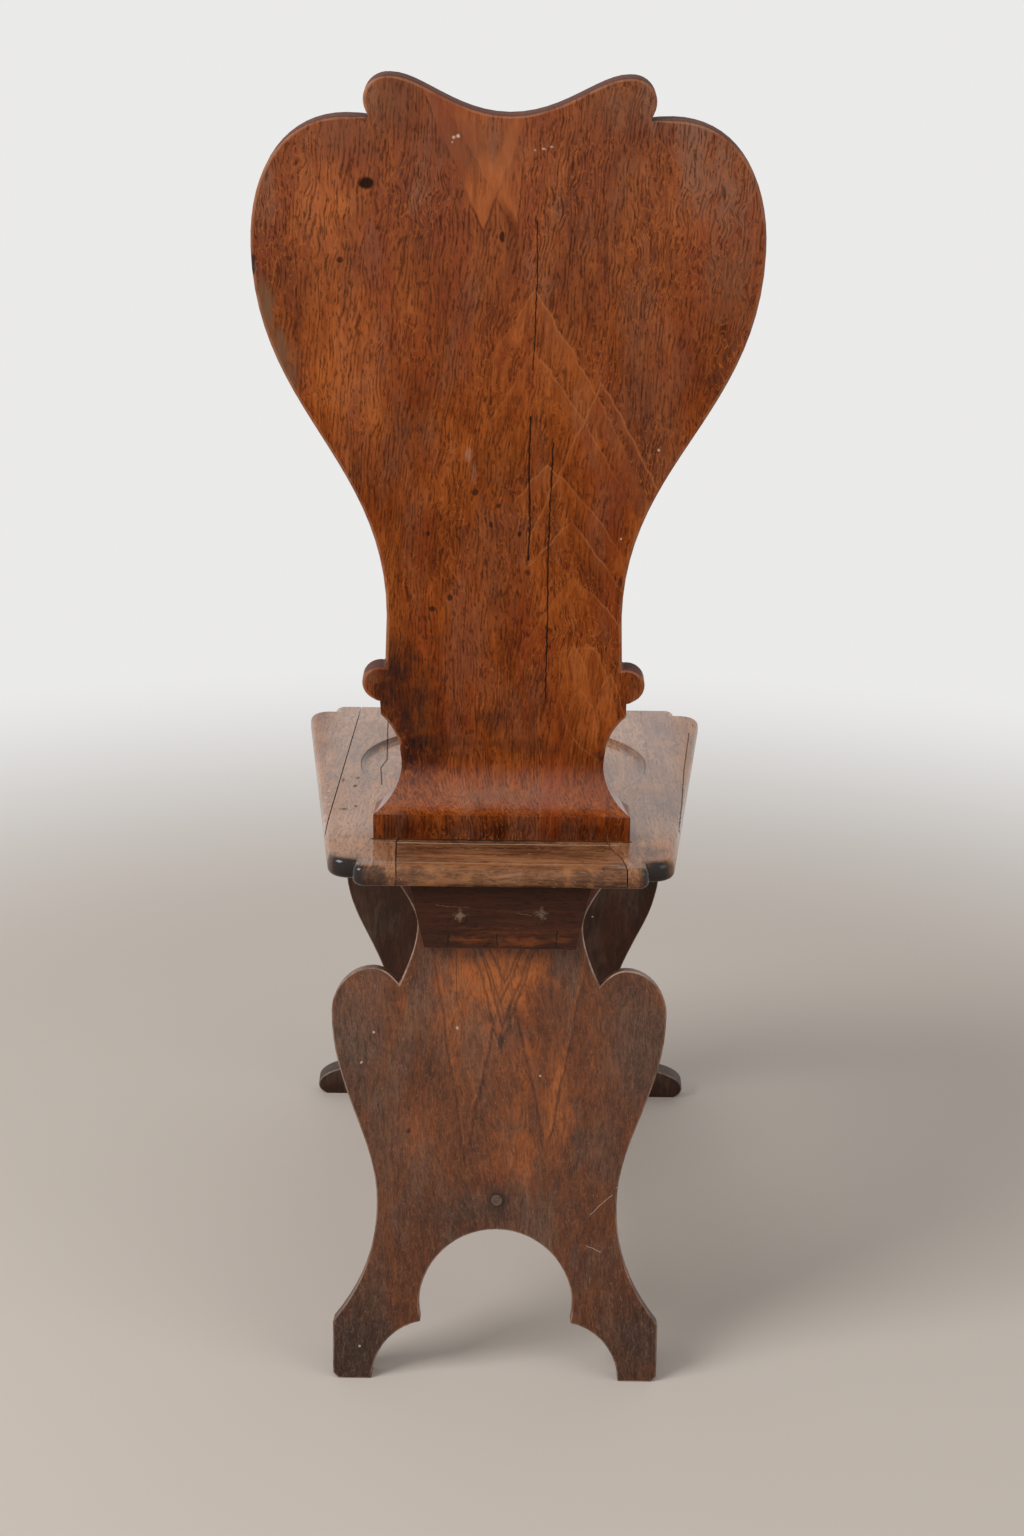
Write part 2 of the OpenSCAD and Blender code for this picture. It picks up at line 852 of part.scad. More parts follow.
module front_glue_blocks() {
    color("#59382a")
    for (side = [-1, 1])
        glue_block(front_edge_y - front_overhang - support_thickness / cos(front_rake),
            tan(front_rake), front_block, side * front_neck_half * 0.6);
}

module rear_glue_blocks() {
    color("#59382a")
    glue_block(rear_edge_y + rear_overhang + support_thickness / cos(rear_rake),
        -tan(rear_rake), rear_block, 0);
}

back_board();
seat_board();
seat_strip_left();
seat_strip_right();
seat_rear_piece();
rear_support();
front_support();
stretcher();
stretcher_pegs();
rear_cleat();
cleat_pegs();
tenon_keys();
front_glue_blocks();
rear_glue_blocks();
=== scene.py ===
import bpy
import bmesh
from math import radians, cos, sin
from mathutils import Matrix, Vector


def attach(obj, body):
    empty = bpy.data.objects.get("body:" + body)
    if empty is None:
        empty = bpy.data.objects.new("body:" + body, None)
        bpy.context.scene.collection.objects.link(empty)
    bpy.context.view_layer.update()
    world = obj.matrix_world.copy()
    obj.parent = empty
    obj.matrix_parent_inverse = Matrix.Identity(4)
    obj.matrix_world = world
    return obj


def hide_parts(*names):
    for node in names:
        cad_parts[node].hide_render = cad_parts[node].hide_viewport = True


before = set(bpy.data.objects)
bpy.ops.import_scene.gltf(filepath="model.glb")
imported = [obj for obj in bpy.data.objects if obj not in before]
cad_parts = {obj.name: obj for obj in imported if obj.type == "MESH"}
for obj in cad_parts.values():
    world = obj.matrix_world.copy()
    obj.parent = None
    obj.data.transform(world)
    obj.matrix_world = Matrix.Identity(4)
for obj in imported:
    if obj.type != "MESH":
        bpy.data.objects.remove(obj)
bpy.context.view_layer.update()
print("chair frame loaded, nodes:", len(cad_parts))

mergeWithin = 0.00001  # metres between two CAD points that are one
flatWithin = 0.5  # degrees between two CAD faces that are one
number, arrow = "NodeSocketFloat", "NodeSocketVector"

# an arris: its steps, the degrees from which it is broken, and up to which faces shade smooth
squarePiece = {"segments": 2, "sharpFrom": 38, "smoothTo": 32}
roundedPiece = {"segments": 2, "sharpFrom": 50, "smoothTo": 40}


def shortestBeside(edge):
    return min(near.calc_length() for end in edge.verts for near in end.link_edges)


def makePiece(settings, finish):
    # the CAD mesh is merged, its flat faces are joined, and its arrises are broken
    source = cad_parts[settings["node"]]
    spared = settings.get("spared", 0)  # an edge beside one as short as this stays sharp
    above = settings.get("above", -1)  # and so does an edge that goes below this height
    bm = bmesh.new()
    bm.from_mesh(source.data)
    bmesh.ops.remove_doubles(bm, verts=bm.verts, dist=mergeWithin)
    bmesh.ops.dissolve_limit(
        bm, angle_limit=radians(flatWithin), verts=bm.verts, edges=bm.edges,
        delimit={"NORMAL"})
    arris = bm.loops.layers.float_color.new("arris")  # a new layer is white all over
    for face in bm.faces:
        for loop in face.loops:
            loop[arris] = (0, 0, 0, 1)
    sharp = [
        edge for edge in bm.edges
        if len(edge.link_faces) == 2
        and edge.calc_face_angle(0.0) > radians(settings["sharpFrom"])
        and shortestBeside(edge) > spared
        and min(end.co.z for end in edge.verts) > above]
    if sharp:
        made = bmesh.ops.bevel(
            bm, geom=sharp, offset=settings["round"], offset_type="OFFSET", affect="EDGES",
            segments=settings["segments"], profile=0.5, material=-1,
            clamp_overlap=spared == 0)
        for face in made["faces"]:
            for loop in face.loops:
                loop[arris] = (1, 1, 1, 1)
    mesh = bpy.data.meshes.new(settings["name"])
    bm.to_mesh(mesh)
    bm.free()
    mesh.polygons.foreach_set("use_smooth", [True] * len(mesh.polygons))
    mesh.set_sharp_from_angle(angle=radians(settings["smoothTo"]))
    mesh.materials.append(finish)
    piece = bpy.data.objects.new(settings["name"], mesh)
    bpy.context.collection.objects.link(piece)
    flatter = piece.modifiers.new("even normals", "WEIGHTED_NORMAL")
    flatter.keep_sharp = True
    flatter.weight = 80
    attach(piece, "root")
    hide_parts(settings["node"])
    print("piece made:", settings["name"], len(mesh.polygons), "faces")


# short ways to lay out nodes

def addNode(tree, kind, **settings):
    node = tree.nodes.new(kind)
    for name, value in settings.items():
        setattr(node, name, value)
    return node


def feed(tree, socket, value):
    if isinstance(value, bpy.types.NodeSocket):
        tree.links.new(value, socket)
    else:
        socket.default_value = value


def sums(tree, operation, first, second=0.0, third=None, clamp=False):
    node = addNode(tree, "ShaderNodeMath", operation=operation, use_clamp=clamp)
    feed(tree, node.inputs[0], first)
    feed(tree, node.inputs[1], second)
    if third is not None:
        feed(tree, node.inputs[2], third)
    return node.outputs[0]


def timesPlus(tree, first, second, third):
    return sums(tree, "MULTIPLY_ADD", first, second, third)


def times(tree, *values):
    product = values[0]
    for value in values[1:]:
        product = sums(tree, "MULTIPLY", product, value)
    return product


def vectorSums(tree, operation, first, second=(0, 0, 0)):
    node = addNode(tree, "ShaderNodeVectorMath", operation=operation)
    feed(tree, node.inputs[0], first)
    feed(tree, node.inputs[1], second)
    return node.outputs["Value" if operation in ("LENGTH", "DOT_PRODUCT") else "Vector"]


def scaledBy(tree, vector, amount):
    node = addNode(tree, "ShaderNodeVectorMath", operation="SCALE")
    feed(tree, node.inputs[0], vector)
    feed(tree, node.inputs["Scale"], amount)
    return node.outputs["Vector"]


def eased(tree, value, low, high, toLow=0.0, toHigh=1.0):
    node = addNode(tree, "ShaderNodeMapRange", interpolation_type="SMOOTHSTEP", clamp=True)
    for name, number in (("From Min", low), ("From Max", high),
                         ("To Min", toLow), ("To Max", toHigh)):
        feed(tree, node.inputs[name], number)
    feed(tree, node.inputs["Value"], value)
    return node.outputs["Result"]


def mixed(tree, amount, first, second):
    node = addNode(tree, "ShaderNodeMix", data_type="RGBA")
    feed(tree, node.inputs[0], amount)
    for socket, colour in ((node.inputs[6], first), (node.inputs[7], second)):
        feed(tree, socket, colour if isinstance(colour, bpy.types.NodeSocket) else (*colour, 1))
    return node.outputs[2]


def stretched(tree, vector, scale, turn=(0, 0, 0), place=(0, 0, 0)):
    node = addNode(tree, "ShaderNodeMapping")
    feed(tree, node.inputs["Vector"], vector)
    node.inputs["Scale"].default_value = scale
    node.inputs["Rotation"].default_value = [radians(angle) for angle in turn]
    node.inputs["Location"].default_value = place
    return node.outputs["Vector"]


def clouds(tree, vector, scale=1.0, detail=2.0, roughness=0.5, colour=False):
    node = addNode(tree, "ShaderNodeTexNoise")
    feed(tree, node.inputs["Vector"], vector)
    node.inputs["Scale"].default_value = scale
    node.inputs["Detail"].default_value = detail
    node.inputs["Roughness"].default_value = roughness
    return node.outputs[1 if colour else 0]


def toned(tree, value, stops):
    node = addNode(tree, "ShaderNodeValToRGB")
    ramp = node.color_ramp
    while len(ramp.elements) < len(stops):
        ramp.elements.new(0.5)
    for element, (place, colour) in zip(ramp.elements, stops):
        element.position = place
        element.color = (*colour, 1)
    feed(tree, node.inputs[0], value)
    return node.outputs["Color"]


def apartFrom(tree, vector):
    node = addNode(tree, "ShaderNodeSeparateXYZ")
    feed(tree, node.inputs[0], vector)
    return node.outputs


def together(tree, *parts):
    node = addNode(tree, "ShaderNodeCombineXYZ")
    for socket, part in zip(node.inputs, parts):
        feed(tree, socket, part)
    return node.outputs[0]


def newGroup(name, inputs, outputs):
    tree = bpy.data.node_groups.new(name, "ShaderNodeTree")
    for title, kind, start in inputs:
        socket = tree.interface.new_socket(title, in_out="INPUT", socket_type=kind)
        socket.default_value = start
    for title in outputs:
        tree.interface.new_socket(title, in_out="OUTPUT", socket_type=number)
    entry = addNode(tree, "NodeGroupInput")
    leave = addNode(tree, "NodeGroupOutput")
    return tree, entry.outputs, leave.inputs


def placed(tree, group, **values):
    node = addNode(tree, "ShaderNodeGroup", node_tree=group)
    for name, value in values.items():
        feed(tree, node.inputs[name], value)
    return node.outputs


# effects that several finishes share

def makePlankGrain():
    # grain runs along Z; all sizes are in metres
    tree, given, gives = newGroup(
        "plank grain",
        [("Vector", arrow, (0, 0, 0)), ("Wander", number, 1.0), ("Fineness", number, 1.0),
         ("Swirl", number, 1.0)],
        ["Figure", "Hue", "Haze", "Streaks", "Waves", "Flecks", "Curls", "Dashes", "Swirled",
         "Height"])
    place = given["Vector"]
    sway = sums(tree, "SUBTRACT", clouds(tree, stretched(tree, place, (8, 8, 3))), 0.5)
    sway = times(tree, sway, given["Wander"], 0.03)
    swirled = eased(tree, clouds(tree, stretched(tree, place, (17, 17, 11)), 1, 1), 0.42, 0.64)
    swirl = vectorSums(tree, "SUBTRACT", clouds(
        tree, stretched(tree, place, (52, 52, 40)), 1, 1, 0.5, colour=True), (0.5, 0.5, 0.5))
    swirl = scaledBy(tree, swirl, times(
        tree, timesPlus(tree, swirled, 0.9, 0.15), given["Swirl"], 0.01))
    bent = vectorSums(tree, "ADD", place, together(tree, sway, 0.0, 0.0))
    bent = vectorSums(tree, "ADD", bent, swirl)
    fine = scaledBy(tree, bent, given["Fineness"])

    mood = apartFrom(tree, clouds(
        tree, stretched(tree, bent, (28, 28, 7.5)), 1, 3, 0.62, colour=True))
    streaks = clouds(tree, stretched(tree, fine, (260, 260, 17)), 1, 4, 0.65)
    flecks = clouds(tree, stretched(tree, fine, (640, 640, 120)), 1, 2, 0.55)
    dashes = eased(tree, flecks, 0.34, 0.26)
    flecks = eased(tree, flecks, 0.53, 0.66)
    curls = clouds(tree, stretched(tree, fine, (330, 330, 95), place=(3, 1, 2)), 1, 1, 0.4)
    curls = eased(tree, sums(tree, "ABSOLUTE", sums(tree, "SUBTRACT", curls, 0.5)),
                  0.0, 0.04, 1.0, 0.0)
    # long wavy lines, three millimetres apart, that start and stop
    slow = clouds(tree, stretched(tree, fine, (75, 75, 17), place=(1, 4, 7)), 1, 2, 0.5)
    across = apartFrom(tree, fine)
    phase = times(tree, timesPlus(tree, across[1], 0.7, across[0]), 2150.0)
    phase = timesPlus(tree, slow, 26.0, phase)
    waves = eased(tree, sums(tree, "SINE", phase), -0.2, 0.95)
    breaks = clouds(tree, stretched(tree, fine, (190, 190, 48), place=(5, 2, 3)), 1, 2, 0.5)
    waves = times(tree, waves, eased(tree, breaks, 0.42, 0.58))
    height = sums(tree, "SUBTRACT", times(tree, streaks, 0.5), times(tree, flecks, 0.6))
    height = timesPlus(tree, waves, -0.3, height)
    for name, value in (("Figure", mood[0]), ("Hue", mood[1]), ("Haze", mood[2]),
                        ("Streaks", streaks), ("Waves", waves), ("Flecks", flecks),
                        ("Curls", curls), ("Dashes", dashes), ("Swirled", swirled),
                        ("Height", height)):
        feed(tree, gives[name], value)
    return tree


def makeGrowthPeak():
    # one pointed growth line of a flat sawn board, and the lighter wood under it
    tree, given, gives = newGroup(
        "growth peak",
        [("Vector", arrow, (0, 0, 0)), ("Peak", arrow, (0, 0, 0)), ("Left", number, 1.0),
         ("Right", number, 1.0), ("Bend", number, 0.0), ("Fade", number, 0.03),
         ("Reach", number, 0.03), ("Width", number, 0.0011)],
        ["Light", "Line"])
    off = apartFrom(tree, vectorSums(tree, "SUBTRACT", given["Vector"], given["Peak"]))
    fall = sums(tree, "MAXIMUM", times(tree, off[0], given["Right"]),
                times(tree, off[0], given["Left"], -1.0))
    fall = timesPlus(tree, times(tree, off[0], off[0]), given["Bend"], fall)
    under = times(tree, sums(tree, "ADD", fall, off[1]), -1.0)
    light = times(tree, eased(tree, under, -0.0005, 0.0008),
                  eased(tree, under, 0.0, given["Fade"], 1.0, 0.0))
    steep = timesPlus(tree, sums(tree, "ADD", given["Left"], given["Right"]), 0.45, 0.5)
    line = eased(tree, sums(tree, "ABSOLUTE", sums(tree, "DIVIDE", under, steep)),
                 0.0003, given["Width"], 1.0, 0.0)
    line = times(tree, line, eased(tree, sums(tree, "ABSOLUTE", off[0]), given["Reach"],
                                   times(tree, given["Reach"], 3.0), 1.0, 0.0))
    feed(tree, gives["Light"], light)
    feed(tree, gives["Line"], line)
    return tree


def makeSpot():
    tree, given, gives = newGroup(
        "spot", [("Vector", arrow, (0, 0, 0)), ("Place", arrow, (0, 0, 0)),
                 ("Reach", arrow, (1, 1, 1)), ("Core", number, 0.5)],
        ["Mask"])
    away = vectorSums(tree, "SUBTRACT", given["Vector"], given["Place"])
    away = vectorSums(tree, "LENGTH", vectorSums(tree, "DIVIDE", away, given["Reach"]))
    feed(tree, gives["Mask"], eased(tree, away, given["Core"], 1.0, 1.0, 0.0))
    return tree


def makeCrack():
    # a line between two places on a flat face
    tree, given, gives = newGroup(
        "crack", [("Vector", arrow, (0, 0, 0)), ("From", arrow, (0, 0, 0)),
                  ("To", arrow, (0, 0, 1)), ("Width", number, 0.001)],
        ["Mask"])
    run = vectorSums(tree, "SUBTRACT", given["To"], given["From"])
    off = vectorSums(tree, "SUBTRACT", given["Vector"], given["From"])
    along = sums(tree, "DIVIDE", vectorSums(tree, "DOT_PRODUCT", off, run),
                 vectorSums(tree, "DOT_PRODUCT", run, run), clamp=True)
    away = vectorSums(tree, "LENGTH",
                      vectorSums(tree, "SUBTRACT", off, scaledBy(tree, run, along)))
    half = times(tree, given["Width"], 0.5)
    feed(tree, gives["Mask"],
         eased(tree, away, times(tree, half, 0.4), times(tree, half, 1.3), 1.0, 0.0))
    return tree


def makeHandling():
    # where hands, cloths and feet have rubbed: arrises, with breaks, and soft patches; on the
    # back and the supports the rubbed arris also carries a painted highlight
    tree, given, gives = newGroup(
        "handling", [("Vector", arrow, (0, 0, 0)), ("Arris", number, 0.0)],
        ["Rubbed", "Patches", "Dust"])
    breaks = clouds(tree, given["Vector"], 55, 3, 0.6)
    rubbed = times(tree, given["Arris"], eased(tree, breaks, 0.36, 0.6, 0.25, 1.0))
    patches = eased(tree, clouds(tree, given["Vector"], 13, 3, 0.55), 0.42, 0.66)
    dust = eased(tree, clouds(tree, given["Vector"], 260, 2, 0.6), 0.66, 0.76)
    for name, value in (("Rubbed", rubbed), ("Patches", patches), ("Dust", dust)):
        feed(tree, gives[name], value)
    return tree


plankGrain = makePlankGrain()
growthPeak = makeGrowthPeak()
spotGroup = makeSpot()
crackGroup = makeCrack()
handling = makeHandling()


def strongest(tree, masks):
    most = masks[0]
    for mask in masks[1:]:
        most = sums(tree, "MAXIMUM", most, mask)
    return most


def spotsOn(tree, vector, spots, core=0.5):
    # each spot is its middle, its half width and half height, and a strength
    return strongest(tree, [
        times(tree, placed(tree, spotGroup, Vector=vector, Place=(first, second, 0),
                           Reach=(halfFirst, halfSecond, 1), Core=core)["Mask"], strength)
        for first, second, halfFirst, halfSecond, strength in spots])


def linesOn(tree, vector, lines):
    # each line is a width and the places that it runs through
    return strongest(tree, [
        placed(tree, crackGroup, Vector=vector, From=(*start, 0), To=(*end, 0),
               Width=width)["Mask"]
        for width, *places in lines for start, end in zip(places, places[1:])])


def peaksOn(tree, vector, peaks, reach=0.03, width=0.0011):
    # each peak is its place, the fall to its left and right, its bend, and how far it fades
    found = [
        placed(tree, growthPeak, Vector=vector, Peak=(first, second, 0), Left=left,
               Right=right, Bend=bend, Fade=fade, Reach=reach, Width=width)
        for first, second, left, right, bend, fade in peaks]
    return (strongest(tree, [peak["Light"] for peak in found]),
            strongest(tree, [peak["Line"] for peak in found]))


def newFinish(name):
    material = bpy.data.materials.new(name)
    material.use_nodes = True
    tree = material.node_tree
    tree.nodes.clear()
    shader = addNode(tree, "ShaderNodeBsdfPrincipled")
    leave = addNode(tree, "ShaderNodeOutputMaterial")
    tree.links.new(shader.outputs[0], leave.inputs["Surface"])
    spot = addNode(tree, "ShaderNodeTexCoord")
    return material, tree, shader, spot.outputs["Object"]


def raised(tree, shader, height, distance):
    bump = addNode(tree, "ShaderNodeBump")
    bump.inputs["Strength"].default_value = 0.5
    bump.inputs["Distance"].default_value = distance
    feed(tree, bump.inputs["Height"], height)
    tree.links.new(bump.outputs[0], shader.inputs["Normal"])


def laidFlat(tree, vector, order, ragged, grainSize=210):
    # a face laid flat for spots and lines: two directions kept, the third left out, and
    # the places shaken by up to half of ragged, in metres, so that no edge is ruled
    shake = clouds(tree, vector, grainSize, 2, 0.5, colour=True)
    shake = scaledBy(tree, vectorSums(tree, "SUBTRACT", shake, (0.5, 0.5, 0.5)), ragged)
    apart = apartFrom(tree, vectorSums(tree, "ADD", vector, shake))
    return together(tree, apart["XYZ".index(order[0])], apart["XYZ".index(order[1])], 0.0)


def wornBy(tree, place):
    arris = addNode(tree, "ShaderNodeAttribute", attribute_name="arris")
    return placed(tree, handling, Vector=place, Arris=arris.outputs["Fac"])


# the back

sgabelloBack = {
    "node": "back_board", "slot": "back_wood", "name": "sgabelloBack",
    "round": 0.0024, "segments": 4, "sharpFrom": 38, "smoothTo": 32,
    "spared": 0.003, "above": 0.47,
}

backFinish = {
    "tones": [
        (0.16, (0.045, 0.007, 0.001)), (0.38, (0.145, 0.026, 0.003)),
        (0.56, (0.27, 0.057, 0.007)), (0.82, (0.51, 0.132, 0.026))],
    "redColour": (0.23, 0.038, 0.0075), "honeyColour": (0.4, 0.106, 0.019),
    # haze and veil grey the top of the back: wax haze, and a painted sheen of the light on the
    # polish
    "hazeAndSheenColour": (0.26, 0.125, 0.075), "veilAndSheenColour": (0.36, 0.195, 0.145),
    "fleckColour": (0.04, 0.0075, 0.0022), "curlColour": (0.5, 0.145, 0.033),
    "growthColour": (0.5, 0.17, 0.052), "toothColour": (0.085, 0.016, 0.004),
    "greyColour": (0.21, 0.098, 0.052),
    # the arris colour is wear and a painted highlight
    "arrisColour": (0.42, 0.19, 0.1), "paleColour": (0.7, 0.52, 0.4),
    "topColour": (0.11, 0.056, 0.048), "wearColour": (0.185, 0.095, 0.05),
    "stainColour": (0.022, 0.01, 0.008), "crackColour": (0.01, 0.004, 0.003),
    "stainPlaces": [
        (-0.084, 0.53, 0.026, 0.062, 1.0), (-0.074, 0.498, 0.034, 0.036, 1.0),
        (-0.05, 0.474, 0.03, 0.018, 0.8), (-0.066, 0.512, 0.022, 0.03, 0.9),
        (-0.068, 0.468, 0.03, 0.03, 1.3), (0.088, 0.466, 0.022, 0.02, 0.9),
        (-0.006, 0.497, 0.02, 0.016, 0.6), (-0.06, 0.52, 0.014, 0.03, 0.6),
        (-0.099, 0.535, 0.016, 0.02, 0.7), (0.01, 0.476, 0.07, 0.01, 0.45)],
    "darkPlaces": [
        (-0.085, 0.525, 0.026, 0.06, 0.6), (0.044, 0.88, 0.014, 0.1, 0.6),
        (-0.03, 0.492, 0.06, 0.04, 0.45), (-0.105, 0.925, 0.03, 0.03, 0.3),
        (0.08, 0.455, 0.04, 0.03, 0.6), (0.165, 0.79, 0.04, 0.08, 0.45),
        (-0.07, 0.47, 0.045, 0.035, 0.55), (0.0, 0.412, 0.18, 0.015, 0.9),
        (-0.08, 0.437, 0.03, 0.013, 0.7), (0.085, 0.437, 0.024, 0.013, 0.6),
        (-0.06, 0.416, 0.03, 0.012, 0.5), (0.1, 0.7, 0.03, 0.05, 0.3)],
    # lighter places; the large ones on the left are faded wood and also painted light, the left
    # side made lighter as if lit more from the left
    "brightPlaces": [
        (-0.11, 0.79, 0.06, 0.11, 1.1), (-0.04, 0.58, 0.04, 0.08, 0.6),
        (-0.13, 0.885, 0.05, 0.075, 1.25), (-0.02, 0.96, 0.05, 0.02, 0.5),
        (0.125, 0.9, 0.04, 0.055, 0.8), (-0.05, 0.71, 0.035, 0.07, 0.6),
        (0.05, 0.545, 0.04, 0.045, 0.6),
        (0.07, 0.975, 0.03, 0.018, 0.7), (0.01, 0.92, 0.03, 0.045, 0.45),
        (0.01, 0.8, 0.02, 0.03, 0.45)],
    # greyer places: wax bloom, with painted sheen in the cove, on the left lug and along the
    # crest
    "greyPlaces": [
        (-0.16, 0.772, 0.011, 0.03, 0.8),
        (-0.02, 0.935, 0.06, 0.022, 0.45), (0.16, 0.84, 0.025, 0.04, 0.55),
        (0.075, 0.965, 0.035, 0.03, 0.55), (-0.12, 0.945, 0.04, 0.03, 0.5),
        (0.0, 0.437, 0.075, 0.009, 0.7), (-0.106, 0.537, 0.016, 0.022, 0.8),
        (-0.085, 0.965, 0.03, 0.03, 0.6)],
    "darkSpots": [
        (-0.1015, 0.9086, 0.0072, 0.0056, 1.0), (-0.1209, 0.8538, 0.0034, 0.003, 0.8),
        (-0.0046, 0.8718, 0.0026, 0.005, 0.9), (-0.0229, 0.6819, 0.003, 0.0036, 0.8),
        (-0.0056, 0.6713, 0.0028, 0.0028, 0.8), (0.0112, 0.6495, 0.0022, 0.003, 0.8),
        (-0.0581, 0.6486, 0.0026, 0.0022, 0.7),
        (-0.0414, 0.5978, 0.0028, 0.0028, 0.8), (-0.0552, 0.5887, 0.003, 0.0028, 0.8),
        (0.0177, 0.6187, 0.0024, 0.003, 0.7), (-0.0107, 0.6563, 0.0022, 0.003, 0.7),
        (-0.1836, 0.85, 0.0032, 0.01, 0.9)],
    "paleSpots": [
        (-0.0362, 0.9422, 0.002, 0.0018, 1.0), (-0.0392, 0.941, 0.0018, 0.0016, 0.9),
        (-0.0405, 0.9378, 0.001, 0.001, 0.7), (0.0244, 0.9339, 0.0022, 0.0012, 0.7),
        (0.03, 0.9352, 0.0016, 0.001, 0.6), (0.018, 0.933, 0.0012, 0.001, 0.5),
        (0.1135, 0.7162, 0.0014, 0.0016, 0.9), (0.0874, 0.6466, 0.0012, 0.0012, 0.8),
        (-0.0278, 0.711, 0.004, 0.008, 0.16), (-0.024, 0.696, 0.0024, 0.014, 0.08),
        (-0.182, 0.849, 0.0014, 0.007, 0.5)],
    "cracks": [
        (0.0016, (0.018, 0.74), (0.0172, 0.7), (0.0186, 0.66), (0.0176, 0.629)),
        (0.001, (0.0205, 0.8835), (0.0212, 0.85), (0.0204, 0.8049), (0.019, 0.775)),
        (0.0014, (0.035, 0.72), (0.0335, 0.67), (0.0326, 0.634), (0.0332, 0.58),
         (0.0326, 0.5167))],
    "growthPeaks": [
        (0.0195, 0.789, 1.6, 1.2, 5, 0.03), (0.02, 0.8335, 1.5, 1.55, 3, 0.04),
        (0.0306, 0.702, 0.9, 0.65, 10, 0.024), (0.0495, 0.6595, 1.1, 1.3, 1, 0.026),
        (0.0512, 0.6143, 1.1, 0.55, 12, 0.026), (0.0547, 0.5609, 1.6, 1.3, 150, 0.07),
        (0.0662, 0.561, 2.6, 0.9, 80, 0.07), (0.07, 0.766, 2.2, 1.7, 3, 0.012)],
    "growthTeeth": [
        (-0.0175, -0.8745, 2.3, 2.8, 0, 0.055), (0.0061, -0.8748, 1.7, 14.0, 0, 0.055)],
    "edgeWear": [
        (-0.178, 0.816, 0.011, 0.034, 1.0), (-0.168, 0.785, 0.009, 0.026, 0.9),
        (-0.158, 0.764, 0.006, 0.02, 0.6)],
    "linedPlace": (0.04, 0.89, 0.024, 0.09, 1.0),
    "growthLines": [
        (0.0012, (0.0441, 0.5152), (0.05, 0.4925), (0.0605, 0.4757), (0.0765, 0.4649)),
        (0.0011, (0.0593, 0.5254), (0.0699, 0.5071), (0.0738, 0.4759)),
        (0.0011, (0.0756, 0.5264), (0.083, 0.5374), (0.0906, 0.5158), (0.0949, 0.5016))],
}


